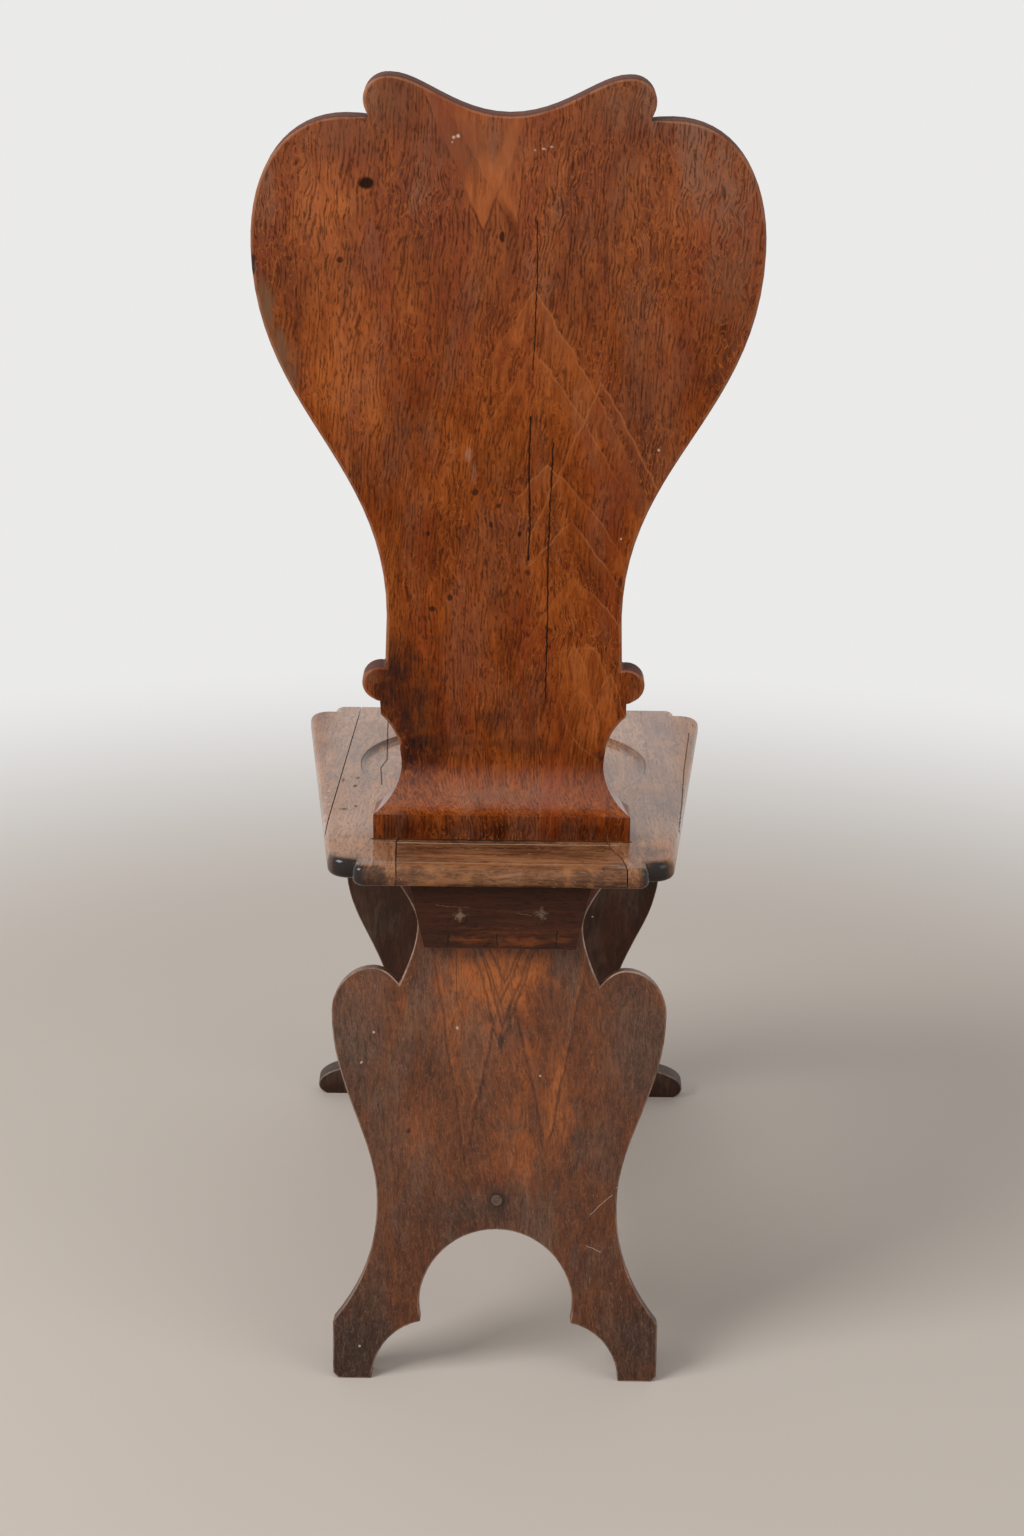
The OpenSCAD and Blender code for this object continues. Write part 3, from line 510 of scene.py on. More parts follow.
def makeBackWood():
    look = backFinish
    material, tree, shader, place = newFinish("aged back wood")
    facing = apartFrom(tree, addNode(tree, "ShaderNodeNewGeometry").outputs["Normal"])
    flat = laidFlat(tree, place, "XZ", 0.0022)
    soft = laidFlat(tree, place, "XZ", 0.03, 75)
    wavy = laidFlat(tree, place, "XZ", 0.007, 70)
    grain = placed(tree, plankGrain, Vector=place, Wander=1.0, Fineness=1.0, Swirl=1.0)
    tone = timesPlus(tree, grain["Figure"], 0.55, times(tree, grain["Streaks"], 0.66))
    tone = sums(tree, "SUBTRACT", tone, 0.09)
    # lighter places, partly painted light on the left of the back
    tone = timesPlus(tree, spotsOn(tree, soft, look["brightPlaces"], 0.0), 0.17, tone)
    tone = timesPlus(tree, spotsOn(tree, soft, look["darkPlaces"], 0.0), -0.24, tone)
    upper = apartFrom(tree, place)[2]
    # painted shade: the upward faces of the top edge are made darker
    edge = times(tree, eased(tree, facing[2], 0.3, 0.7), eased(tree, upper, 0.47, 0.5))
    tone = timesPlus(tree, edge, -0.26, tone)
    light, line = peaksOn(tree, wavy, look["growthPeaks"])
    upsideDown = vectorSums(tree, "MULTIPLY", wavy, (1, -1, 1))
    toothLight, toothLine = peaksOn(tree, upsideDown, look["growthTeeth"], 0.005, 0.0015)
    # the growth lines stay to the right of a slanting border
    lean = eased(tree, upper, 0.62, 0.76, 0.016, -0.014)
    inside = eased(tree, sums(tree, "SUBTRACT", apartFrom(tree, wavy)[0], lean), -0.003, 0.005)
    light = times(tree, inside, light)
    line = times(tree, inside, line)
    light = sums(tree, "MAXIMUM", light, times(tree, toothLight, 1.8))
    line = sums(tree, "MAXIMUM", line, linesOn(tree, wavy, look["growthLines"]))
    tone = timesPlus(tree, light, 0.07, tone)
    block = eased(tree, upper, 0.4262, 0.424)  # the upright front of the foot
    tone = timesPlus(tree, block, -0.09, tone)
    colour = toned(tree, tone, look["tones"])
    colour = mixed(tree, eased(tree, grain["Hue"], 0.5, 0.66, 0.0, 0.6), colour,
                   look["redColour"])
    colour = mixed(tree, eased(tree, grain["Hue"], 0.48, 0.34, 0.0, 0.35), colour,
                   look["honeyColour"])
    # greyer and paler towards the top: wax haze, and a painted sheen
    hazy = eased(tree, upper, 0.8, 0.96, 0.25, 0.75)
    colour = mixed(tree, times(tree, eased(tree, grain["Haze"], 0.44, 0.66), hazy), colour,
                   look["hazeAndSheenColour"])
    colour = mixed(tree, eased(tree, upper, 0.7, 0.96, 0.0, 0.16), colour, look["veilAndSheenColour"])

    quiet = timesPlus(tree, light, -0.65, 1.0)  # few flecks in the lighter wood
    colour = mixed(tree, times(tree, grain["Waves"], quiet, 0.55), colour, look["fleckColour"])
    colour = mixed(tree, times(tree, grain["Flecks"], quiet, 0.6), colour, look["fleckColour"])
    curls = times(tree, grain["Curls"], quiet, timesPlus(tree, grain["Swirled"], 0.35, 0.16))
    colour = mixed(tree, curls, colour, look["curlColour"])
    line = times(tree, line, eased(tree, grain["Haze"], 0.38, 0.52, 0.4, 1.0))
    colour = mixed(tree, times(tree, line, 0.42), colour, look["growthColour"])
    lined = times(tree, spotsOn(tree, soft, [look["linedPlace"]], 0.3), grain["Waves"])
    toothLine = sums(tree, "MAXIMUM", toothLine, times(tree, lined, 0.8))
    colour = mixed(tree, times(tree, toothLine, 0.6), colour, look["toothColour"])
    stain = times(tree, spotsOn(tree, soft, look["stainPlaces"], 0.0),
                  eased(tree, grain["Streaks"], 0.38, 0.58, 0.25, 1.0))
    colour = mixed(tree, times(tree, stain, 0.92), colour, look["stainColour"])
    # greyer places, partly painted sheen
    grey = spotsOn(tree, soft, look["greyPlaces"], 0.0)
    colour = mixed(tree, times(tree, grey, 0.6), colour, look["greyColour"])
    rubbedSide = times(tree, spotsOn(tree, wavy, look["edgeWear"], 0.45),
                       eased(tree, grain["Streaks"], 0.3, 0.6, 0.45, 0.85))
    colour = mixed(tree, rubbedSide, colour, look["wearColour"])
    worn = wornBy(tree, place)
    # painted sheen and shade: the top edge is given the dark purplish colour of the dim sheen
    # seen on it
    colour = mixed(tree, times(tree, edge, 0.75), colour, look["topColour"])
    # the rubbed arris is lighter: wear, and a painted highlight along the rounded edges
    colour = mixed(tree, times(tree, worn["Rubbed"], timesPlus(tree, edge, -0.5, 0.5)),
                   colour, look["arrisColour"])
    chips = times(tree, spotsOn(tree, flat, look["paleSpots"], 0.2),
                  eased(tree, facing[1], 0.0, -0.3))  # they don't go through the board
    colour = mixed(tree, chips, colour, look["paleColour"])
    sunk = sums(tree, "MAXIMUM", linesOn(tree, flat, look["cracks"]),
                spotsOn(tree, flat, look["darkSpots"], 0.55))
    colour = mixed(tree, times(tree, sunk, 0.92), colour, look["crackColour"])
    feed(tree, shader.inputs["Base Color"], colour)

    rough = timesPlus(tree, grain["Streaks"], 0.2, 0.2)
    rough = timesPlus(tree, worn["Patches"], 0.06, rough)
    rough = timesPlus(tree, sunk, 0.4, rough)
    rough = timesPlus(tree, edge, 0.35, rough)
    feed(tree, shader.inputs["Roughness"], rough)
    shader.inputs["Specular IOR Level"].default_value = 0.08
    waxed = times(tree, eased(tree, upper, 0.464, 0.442),
                  eased(tree, upper, 0.4242, 0.4262))  # wax is thick in the cove
    feed(tree, shader.inputs["Coat Weight"], waxed)
    shader.inputs["Coat Roughness"].default_value = 0.24
    height = sums(tree, "SUBTRACT", grain["Height"], times(tree, sunk, 3.0))
    raised(tree, shader, height, 0.00016)
    print("finish made:", material.name)
    return material


# the seat

seatMiddle = {
    "node": "seat_board", "slot": "seat_wood", "name": "seatMiddle",
    "round": 0.0005, **roundedPiece,
}
seatStripLeft = {
    "node": "seat_strip_left", "slot": "seat_wood", "name": "seatStripLeft",
    "round": 0.0005, **roundedPiece,
}
seatStripRight = {
    "node": "seat_strip_right", "slot": "seat_wood", "name": "seatStripRight",
    "round": 0.0005, **roundedPiece,
}
seatRearPiece = {
    "node": "seat_rear_piece", "slot": "seat_edge_wood", "name": "seatRearPiece",
    "round": 0.0005, **roundedPiece,
}

seatFinish = {
    "tones": [
        (0.18, (0.075, 0.026, 0.01)), (0.4, (0.18, 0.072, 0.031)),
        (0.58, (0.29, 0.128, 0.06)), (0.84, (0.46, 0.23, 0.115))],
    "fleckColour": (0.045, 0.015, 0.007), "curlColour": (0.38, 0.19, 0.09),
    "goldColour": (0.44, 0.18, 0.062), "patchColour": (0.3, 0.165, 0.1),
    "dustColour": (0.47, 0.3, 0.17), "paleColour": (0.62, 0.43, 0.28),
    "smokedColour": (0.015, 0.0078, 0.0058), "glintColour": (0.48, 0.35, 0.25),
    "crackColour": (0.02, 0.009, 0.006),
    "dishMiddle": (0.0, 0.0557), "dishRadius": 0.121,
    "goldPlaces": [
        (-0.172, 0.06, 0.012, 0.12, 0.9), (0.16, 0.01, 0.012, 0.17, 0.9),
        (-0.134, 0.036, 0.01, 0.016, 0.7), (-0.127, -0.113, 0.012, 0.016, 0.7),
        (0.124, -0.01, 0.012, 0.022, 0.7), (0.127, -0.16, 0.014, 0.022, 0.7),
        (-0.03, -0.216, 0.08, 0.008, 0.8), (0.06, -0.215, 0.04, 0.008, 0.9),
        (0.01, -0.198, 0.06, 0.008, 0.6), (-0.03, -0.186, 0.03, 0.008, 0.5)],
    "darkPlaces": [
        # the first two places and the wide band at the back's foot are a painted reflection: the
        # back's dark foot mirrored in the polished seat
        (-0.06, -0.186, 0.06, 0.022, 0.7), (0.05, -0.184, 0.07, 0.024, 0.7),
        (-0.02, -0.221, 0.022, 0.01, 0.7), (0.075, -0.221, 0.024, 0.01, 0.8),
        (0.028, -0.22, 0.018, 0.01, 0.8), (-0.062, -0.222, 0.016, 0.008, 0.6),
        (0.0, -0.152, 0.11, 0.014, 1.0), (-0.115, -0.19, 0.03, 0.02, 0.4),
        (0.118, -0.18, 0.02, 0.02, 0.4)],
    "smokedEnds": [
        (-0.122, -0.215, 0.03, 0.026, 1.0), (-0.134, -0.2, 0.014, 0.018, 0.8),
        (0.125, -0.218, 0.024, 0.026, 1.0), (-0.096, -0.228, 0.012, 0.012, 0.7),
        (0.136, -0.204, 0.01, 0.014, 0.7)],
    "glints": [
        (0.0022, (-0.0817, -0.165), (-0.02, -0.1662), (0.09, -0.1652)),
        (0.0009, (-0.098, -0.2118), (0.09, -0.2124)),
        (0.0008, (-0.1, -0.164), (-0.083, -0.165))],
    "darkSpots": [
        (-0.1224, 0.0044, 0.0022, 0.004, 0.8), (-0.1234, -0.0184, 0.0022, 0.005, 0.8),
        (-0.1341, -0.0019, 0.002, 0.006, 0.7), (-0.1284, -0.0815, 0.004, 0.004, 0.7),
        (-0.1192, -0.0731, 0.0018, 0.004, 0.8)],
    "paleSpots": [
        (-0.1441, -0.0333, 0.0014, 0.003, 0.6), (-0.1453, -0.0499, 0.0014, 0.003, 0.6),
        (-0.1415, -0.0687, 0.0014, 0.003, 0.6)],
    "cracks": [
        # the first line is no crack but a painted shadow line where the back's foot meets the
        # seat
        (0.004, (-0.101, -0.1565), (0.101, -0.1565)),
        (0.0012, (-0.106, 0.182), (-0.1014, 0.0737), (-0.1054, 0.0494), (-0.101, -0.014)),
        (0.001, (0.1666, 0.1552), (0.155, 0.04), (0.1481, -0.0454), (0.1412, -0.1194))],
}


def makeSeatWood(name, turn, shift, curly, lift):
    look = seatFinish
    material, tree, shader, place = newFinish(name)
    flat = laidFlat(tree, place, "XY", 0.0016)
    soft = laidFlat(tree, place, "XY", 0.034, 75)
    turned = stretched(tree, place, (1, 1, 1), turn=turn, place=shift)
    grain = placed(tree, plankGrain, Vector=turned, Wander=0.8, Fineness=0.8, Swirl=1.6)
    tone = timesPlus(tree, grain["Figure"], 0.9, times(tree, grain["Streaks"], 1.0))
    tone = sums(tree, "ADD", tone, lift)
    # darker places, among them a painted reflection of the back's foot in the seat behind it
    tone = timesPlus(tree, spotsOn(tree, soft, look["darkPlaces"], 0.0), -0.26, tone)
    normal = apartFrom(tree, addNode(tree, "ShaderNodeNewGeometry").outputs["Normal"])
    # painted shade: the lower half of the rounded rear edge, turned down and back, is made darker
    under = times(tree, eased(tree, apartFrom(tree, place)[2], 0.401, 0.39),
                  eased(tree, normal[1], -0.2, -0.6))  # the lower half of the rear edge
    tone = timesPlus(tree, under, -0.22, tone)
    # painted shade: a dark ring along the dish's rim, where its sloping wall is shaded
    fromMiddle = vectorSums(tree, "LENGTH", vectorSums(
        tree, "SUBTRACT", laidFlat(tree, place, "XY", 0.002), (*look["dishMiddle"], 0)))
    rim = sums(tree, "ABSOLUTE", sums(tree, "SUBTRACT", fromMiddle, look["dishRadius"]))
    tone = timesPlus(tree, eased(tree, rim, 0.0, 0.006, 1.0, 0.0), -0.24, tone)
    colour = toned(tree, tone, look["tones"])
    colour = mixed(tree, eased(tree, grain["Hue"], 0.46, 0.34, 0.0, 0.6), colour,
                   look["goldColour"])
    colour = mixed(tree, times(tree, grain["Waves"], 0.35), colour, look["fleckColour"])
    colour = mixed(tree, times(tree, grain["Flecks"], 0.58), colour, look["fleckColour"])
    colour = mixed(tree, times(tree, grain["Curls"], curly), colour, look["curlColour"])
    worn = wornBy(tree, place)
    gold = times(tree, spotsOn(tree, soft, look["goldPlaces"], 0.1),
                 timesPlus(tree, worn["Patches"], 0.5, 0.45))
    colour = mixed(tree, gold, colour, look["goldColour"])
    colour = mixed(tree, times(tree, worn["Patches"], 0.22), colour, look["patchColour"])
    colour = mixed(tree, times(tree, worn["Dust"], 0.5), colour, look["dustColour"])
    colour = mixed(tree, spotsOn(tree, flat, look["paleSpots"], 0.4), colour,
                   look["paleColour"])
    smoked = spotsOn(tree, laidFlat(tree, place, "XY", 0.008, 75), look["smokedEnds"], 0.55)
    smoked = times(tree, smoked, eased(tree, normal[2], 0.8, 1.0, 1.0, 0.45))
    colour = mixed(tree, smoked, colour, look["smokedColour"])
    colour = mixed(tree, times(tree, linesOn(tree, flat, look["glints"]), 0.75), colour,
                   look["glintColour"])
    # the cracks here take in the painted shadow line at the back's foot
    sunk = sums(tree, "MAXIMUM", linesOn(tree, flat, look["cracks"]),
                spotsOn(tree, flat, look["darkSpots"], 0.4))
    colour = mixed(tree, times(tree, sunk, 0.85), colour, look["crackColour"])
    feed(tree, shader.inputs["Base Color"], colour)
    rough = timesPlus(tree, grain["Streaks"], 0.2, 0.2)
    rough = timesPlus(tree, worn["Patches"], 0.14, rough)
    rough = timesPlus(tree, smoked, -0.12, rough)
    rough = timesPlus(tree, sunk, 0.4, rough)
    feed(tree, shader.inputs["Roughness"], rough)
    shader.inputs["Specular IOR Level"].default_value = 0.08
    # the top is waxed, and the rear end is rubbed bare but for its smoked corners
    waxed = eased(tree, apartFrom(tree, place)[1], -0.175, -0.12, 0.32, 0.72)
    side = sums(tree, "ABSOLUTE", apartFrom(tree, place)[0])
    waxed = times(tree, waxed, eased(tree, side, 0.14, 0.172, 1.0, 0.35))
    waxed = sums(tree, "MAXIMUM", waxed, times(tree, smoked, 0.55))
    feed(tree, shader.inputs["Coat Weight"], times(tree, waxed, timesPlus(tree, sunk, -0.8, 1.0)))
    shader.inputs["Coat Roughness"].default_value = 0.12
    height = sums(tree, "SUBTRACT", grain["Height"], times(tree, sunk, 2.5))
    height = timesPlus(tree, clouds(tree, place, 34), 5.0, height)
    raised(tree, shader, height, 0.00018)
    print("finish made:", material.name)
    return material


# the supports

rearPlankSupport = {
    "node": "rear_support", "slot": "leg_wood", "name": "rearPlankSupport",
    "round": 0.0011, "segments": 3, "sharpFrom": 38, "smoothTo": 32, "spared": 0.002,
}
frontPlankSupport = {
    "node": "front_support", "slot": "leg_wood", "name": "frontPlankSupport",
    "round": 0.0011, "segments": 3, "sharpFrom": 38, "smoothTo": 32, "spared": 0.002,
}

rearSupportFinish = {
    "tones": [
        (0.16, (0.028, 0.0085, 0.0035)), (0.38, (0.08, 0.024, 0.0085)),
        (0.58, (0.165, 0.049, 0.016)), (0.84, (0.37, 0.108, 0.028))],
    "emberColour": (0.44, 0.115, 0.02), "emberDark": (0.13, 0.022, 0.005),
    "emberPlaces": [
        (0.0, 0.3, 0.05, 0.055, 1.0), (0.044, 0.215, 0.03, 0.065, 1.0),
        (0.012, 0.235, 0.04, 0.055, 0.9), (0.01, 0.175, 0.04, 0.035, 0.7),
        (-0.04, 0.275, 0.024, 0.045, 0.6), (0.068, 0.235, 0.014, 0.045, 0.6),
        (-0.06, 0.205, 0.014, 0.05, 0.35)],
    "shift": (0.7, 0.3, 0.2), "lift": -0.11,
    "growthTeeth": [
        (0.0018, -0.2544, 3.4, 3.1, 0, 0.09), (0.003, -0.273, 3.0, 2.6, 4, 0.03),
        (0.001, -0.292, 2.4, 2.1, 8, 0.03), (0.004, -0.308, 1.8, 1.7, 12, 0.02),
        (0.038, -0.175, 4.5, 5.0, 0, 0.05), (-0.025, -0.17, 6.0, 5.0, 0, 0.04)],
    "figure": 0.3, "red": 0.9, "lineDepth": 0.52, "lineReach": 0.016,
    "brightPlaces": [
        (0.0, 0.312, 0.06, 0.05, 1.35), (0.045, 0.215, 0.024, 0.06, 0.6),
        (-0.015, 0.265, 0.06, 0.06, 0.4), (0.02, 0.2, 0.02, 0.06, 0.3),
        (-0.06, 0.19, 0.02, 0.05, 0.35), (-0.069, 0.284, 0.02, 0.03, 0.35)],
    "greyPlaces": [
        (-0.116, 0.265, 0.042, 0.07, 1.0), (0.11, 0.262, 0.042, 0.075, 1.0),
        (0.0, 0.13, 0.09, 0.025, 0.5), (-0.085, 0.18, 0.03, 0.05, 0.5),
        (0.085, 0.18, 0.022, 0.05, 0.6), (-0.115, 0.03, 0.04, 0.04, 0.8),
        (0.115, 0.03, 0.04, 0.04, 0.7), (-0.105, 0.09, 0.03, 0.04, 0.5)],
    "darkPlaces": [
        (-0.112, 0.026, 0.06, 0.075, 1.3), (0.11, 0.03, 0.05, 0.07, 1.0),
        # the first band, just below the cleat, is a painted shadow
        (0.0, 0.338, 0.075, 0.012, 0.6), (0.0, 0.13, 0.085, 0.036, 0.5)],
    "darkSpots": [
        (-0.0693, 0.1915, 0.003, 0.003, 0.9), (-0.0066, 0.2787, 0.0026, 0.007, 0.7),
        (0.0018, 0.262, 0.0026, 0.009, 0.8), (0.0084, 0.283, 0.002, 0.009, 0.6),
        (0.0015, 0.129, 0.008, 0.011, 0.5), (0.0005, 0.1393, 0.0094, 0.0094, 1.0)],
    "paleSpots": [
        (-0.0325, 0.2708, 0.0014, 0.0014, 0.8), (-0.0969, 0.2669, 0.0013, 0.0013, 0.8),
        (-0.1068, 0.2438, 0.0013, 0.0013, 0.8), (0.0324, 0.2349, 0.0013, 0.0013, 0.8),
        (-0.106, 0.025, 0.0014, 0.0014, 0.8)],
    "cracks": [
        (0.0005, (-0.0332, 0.3286), (-0.0336, 0.31), (-0.0328, 0.2921))],
    "scratches": [
        (0.0007, (0.0729, 0.1287), (0.0898, 0.1443)), (0.0007, (0.093, 0.15), (0.1, 0.149)),
        (0.0007, (0.103, 0.081), (0.111, 0.08)), (0.0007, (0.07, 0.105), (0.082, 0.1))],
}

# the front support has its own figure, but its tones, ember and lift are made much darker than
# the rear support's: painted shade, as it stands in the seat's shadow
shadedFrontSupportFinish = {
    "tones": [
        (0.16, (0.018, 0.006, 0.003)), (0.4, (0.046, 0.015, 0.007)),
        (0.6, (0.085, 0.027, 0.012)), (0.84, (0.19, 0.062, 0.025))],
    "emberColour": (0.12, 0.032, 0.011), "emberDark": (0.035, 0.009, 0.005),
    "emberPlaces": [(0.01, 0.28, 0.06, 0.06, 0.8), (-0.04, 0.2, 0.03, 0.06, 0.6)],
    "shift": (1.3, 0.1, 0.6), "lift": -0.24,
    "growthTeeth": [
        (0.012, -0.22, 3.0, 3.3, 0, 0.08), (-0.03, -0.29, 2.4, 2.6, 0, 0.04)],
    "figure": 0.06, "red": 0.5, "lineDepth": 0.3, "lineReach": 0.02,
    "brightPlaces": [
        (0.01, 0.29, 0.06, 0.05, 0.8), (-0.04, 0.2, 0.03, 0.06, 0.6)],
    "greyPlaces": [
        (-0.165, 0.03, 0.03, 0.03, 0.8), (0.165, 0.03, 0.03, 0.03, 0.8),
        (-0.12, 0.26, 0.03, 0.06, 0.7), (0.12, 0.26, 0.03, 0.06, 0.7)],
    "darkPlaces": [
        # the first place, at the top under the seat, is painted shade
        (0.0, 0.34, 0.08, 0.02, 0.6), (0.0, 0.15, 0.12, 0.03, 0.5)],
    "darkSpots": [(0.048, 0.231, 0.0026, 0.003, 0.9), (-0.072, 0.168, 0.0022, 0.003, 0.8)],
    "paleSpots": [(0.086, 0.202, 0.0012, 0.0012, 0.8), (-0.15, 0.036, 0.0013, 0.0013, 0.8)],
    "cracks": [(0.0008, (0.021, 0.335), (0.0222, 0.29), (0.0216, 0.265))],
    "scratches": [(0.0007, (-0.158, 0.042), (-0.145, 0.033))],
}

# what both supports have alike
supportWear = {
    "greyColours": [(0.043, 0.027, 0.02), (0.14, 0.097, 0.071)],
    "lineColour": (0.03, 0.009, 0.005),
    "fleckColour": (0.022, 0.008, 0.0045), "dashColour": (0.33, 0.19, 0.115),
    # the rubbed colour is wear, and on the supports also a painted highlight
    "curlColour": (0.29, 0.13, 0.06), "rubbedColour": (0.45, 0.31, 0.23),
    "paleColour": (0.6, 0.42, 0.3), "crackColour": (0.012, 0.006, 0.004),
}


def makeSupportWood(name, look):
    material, tree, shader, place = newFinish(name)
    flat = laidFlat(tree, place, "XZ", 0.002)
    soft = laidFlat(tree, place, "XZ", 0.034, 75)
    grain = placed(tree, plankGrain, Wander=1.1, Fineness=1.25, Swirl=0.7,
                   Vector=stretched(tree, place, (1, 1, 1), place=look["shift"]))
    tone = timesPlus(tree, grain["Figure"], 0.6, times(tree, grain["Streaks"], 0.6))
    tone = sums(tree, "ADD", tone, look["lift"])
    upsideDown = vectorSums(tree, "MULTIPLY", laidFlat(tree, place, "XZ", 0.006, 50), (1, -1, 1))
    light, line = peaksOn(tree, upsideDown, look["growthTeeth"], look["lineReach"], 0.0019)
    tone = timesPlus(tree, light, 0.1, tone)
    tone = timesPlus(tree, spotsOn(tree, soft, look["brightPlaces"], 0.0), 0.26, tone)
    tone = timesPlus(tree, spotsOn(tree, soft, look["darkPlaces"], 0.0), -0.26, tone)
    colour = toned(tree, tone, look["tones"])
    reddened = spotsOn(tree, soft, look["emberPlaces"], 0.2)
    ember = times(tree, reddened, eased(tree, grain["Hue"], 0.36, 0.58, 1.0, 0.2))
    glow = mixed(tree, eased(tree, tone, 0.2, 0.84), look["emberDark"],
                 look["emberColour"])
    colour = mixed(tree, times(tree, ember, look["red"]), colour, glow)
    worn = wornBy(tree, place)
    grey = sums(tree, "MAXIMUM", spotsOn(tree, soft, look["greyPlaces"], 0.2),
                times(tree, eased(tree, grain["Haze"], 0.48, 0.64, 0.0, 0.7),
                      timesPlus(tree, reddened, -0.75, 1.0)))
    grey = times(tree, grey, timesPlus(tree, worn["Patches"], 0.35, 0.6))
    greyTone = timesPlus(tree, tone, 0.4, times(tree, grain["Streaks"], 0.6))
    greyer = mixed(tree, eased(tree, greyTone, 0.25, 0.65), *supportWear["greyColours"])
    colour = mixed(tree, times(tree, grey, 0.8), colour, greyer)
    colour = mixed(tree, times(tree, line, look["lineDepth"]), colour, supportWear["lineColour"])
    for mark, part, shade in (("Waves", 1.0, "fleckColour"), ("Flecks", 1.2, "fleckColour"),
                              ("Dashes", 1.5, "dashColour"), ("Curls", 0.9, "curlColour")):
        colour = mixed(tree, times(tree, grain[mark], look["figure"] * part), colour,
                       supportWear[shade])
    # the arris is rubbed, and painted palest high up under the seat: a painted highlight along
    # the neck's edges
    bright = eased(tree, apartFrom(tree, place)[2], 0.285, 0.325, 0.4, 0.95)
    colour = mixed(tree, times(tree, worn["Rubbed"], bright), colour, supportWear["rubbedColour"])
    pale = sums(tree, "MAXIMUM", spotsOn(tree, flat, look["paleSpots"], 0.4),
                times(tree, linesOn(tree, flat, look["scratches"]), 0.5))
    colour = mixed(tree, pale, colour, supportWear["paleColour"])
    sunk = sums(tree, "MAXIMUM", linesOn(tree, flat, look["cracks"]),
                spotsOn(tree, flat, look["darkSpots"], 0.3))
    colour = mixed(tree, times(tree, sunk, 0.85), colour, supportWear["crackColour"])
    feed(tree, shader.inputs["Base Color"], colour)
    rough = timesPlus(tree, grain["Streaks"], 0.22, 0.28)
    rough = timesPlus(tree, grey, 0.12, rough)
    feed(tree, shader.inputs["Roughness"], rough)
    shader.inputs["Specular IOR Level"].default_value = 0.28
    height = sums(tree, "SUBTRACT", grain["Height"], times(tree, sunk, 2.0))
    raised(tree, shader, height, 0.00018)
    print("finish made:", material.name)
    return material


# the batten on the rear support, with its pegs

rearCleatBoard = {
    "node": "rear_cleat", "slot": "cleat_wood", "name": "rearCleatBoard",
    "round": 0.001, **squarePiece,
}
cleatPegEnds = {
    "node": "cleat_pegs", "slot": "peg_wood", "name": "cleatPegEnds",
    "round": 0.0003, **roundedPiece,
}

cleatFinish = {
    "flameColour": (0.23, 0.06, 0.015), "fleckColour": (0.012, 0.005, 0.003),
    "rubbedColour": (0.2, 0.105, 0.06), "bruiseColour": (0.27, 0.175, 0.12),
    "crackColour": (0.006, 0.004, 0.003),
    # the tones are kept very dark: painted shade, as the cleat sits under the seat's overhang
    "tones": [
        (0.25, (0.018, 0.0065, 0.0035)), (0.5, (0.046, 0.015, 0.007)),
        (0.8, (0.11, 0.034, 0.013))],
    "flames": [
        (-0.024, 0.343, 0.022, 0.005, 0.8), (0.016, 0.342, 0.03, 0.0055, 0.9),
        (0.0, 0.35, 0.056, 0.005, 0.4), (0.046, 0.345, 0.01, 0.006, 0.6)],
    "cracks": [
        (0.001, (-0.0399, 0.34), (-0.0396, 0.348)),
        (0.001, (-0.0023, 0.3385), (-0.0026, 0.348)),
        (0.0012, (0.0427, 0.338), (0.044, 0.35))],
    "bruises": [
        (-0.031, 0.3616, 0.007, 0.0026, 0.7), (-0.031, 0.3616, 0.0026, 0.0066, 0.7),
        (0.0312, 0.3639, 0.0072, 0.0026, 0.6), (0.0318, 0.3639, 0.0026, 0.0066, 0.6),
        (-0.0345, 0.359, 0.0016, 0.0016, 0.6), (0.035, 0.36, 0.0016, 0.0016, 0.6)],
    "scratches": [
        (0.0006, (-0.0494, 0.369), (-0.042, 0.368), (-0.0233, 0.3672)),
        (0.0006, (0.0128, 0.364), (0.025, 0.3616))],
}


def makeCleatWood():
    look = cleatFinish
    # its dark tones are painted shade from the seat above
    material, tree, shader, place = newFinish("shade-darkened cleat wood")
    flat = laidFlat(tree, place, "XZ", 0.003, 330)
    soft = laidFlat(tree, place, "XZ", 0.012, 110)
    grain = placed(tree, plankGrain, Wander=0.6, Fineness=1.1, Swirl=0.5,
                   Vector=stretched(tree, place, (1, 1, 1), turn=(0, 90, 0)))
    tone = timesPlus(tree, grain["Figure"], 0.55, times(tree, grain["Streaks"], 0.45))
    colour = toned(tree, tone, look["tones"])
    flames = spotsOn(tree, soft, look["flames"], 0.1)
    flames = times(tree, flames, eased(tree, grain["Streaks"], 0.38, 0.62, 0.15, 0.8))
    colour = mixed(tree, flames, colour, look["flameColour"])
    colour = mixed(tree, times(tree, grain["Flecks"], 0.5), colour, look["fleckColour"])
    worn = wornBy(tree, place)
    colour = mixed(tree, times(tree, worn["Rubbed"], 0.4), colour, look["rubbedColour"])
    marks = sums(tree, "MAXIMUM", spotsOn(tree, flat, look["bruises"], 0.1),
                 times(tree, linesOn(tree, flat, look["scratches"]), 0.35))
    colour = mixed(tree, marks, colour, look["bruiseColour"])
    sunk = linesOn(tree, flat, look["cracks"])
    colour = mixed(tree, times(tree, sunk, 0.9), colour, look["crackColour"])
    feed(tree, shader.inputs["Base Color"], colour)
    feed(tree, shader.inputs["Roughness"], timesPlus(tree, grain["Streaks"], 0.25, 0.3))
    shader.inputs["Specular IOR Level"].default_value = 0.12
    raised(tree, shader, sums(tree, "SUBTRACT", grain["Height"], times(tree, sunk, 2.0)), 0.00018)
    print("finish made:", material.name)
    return material


# the small pieces and the ones that hardly show

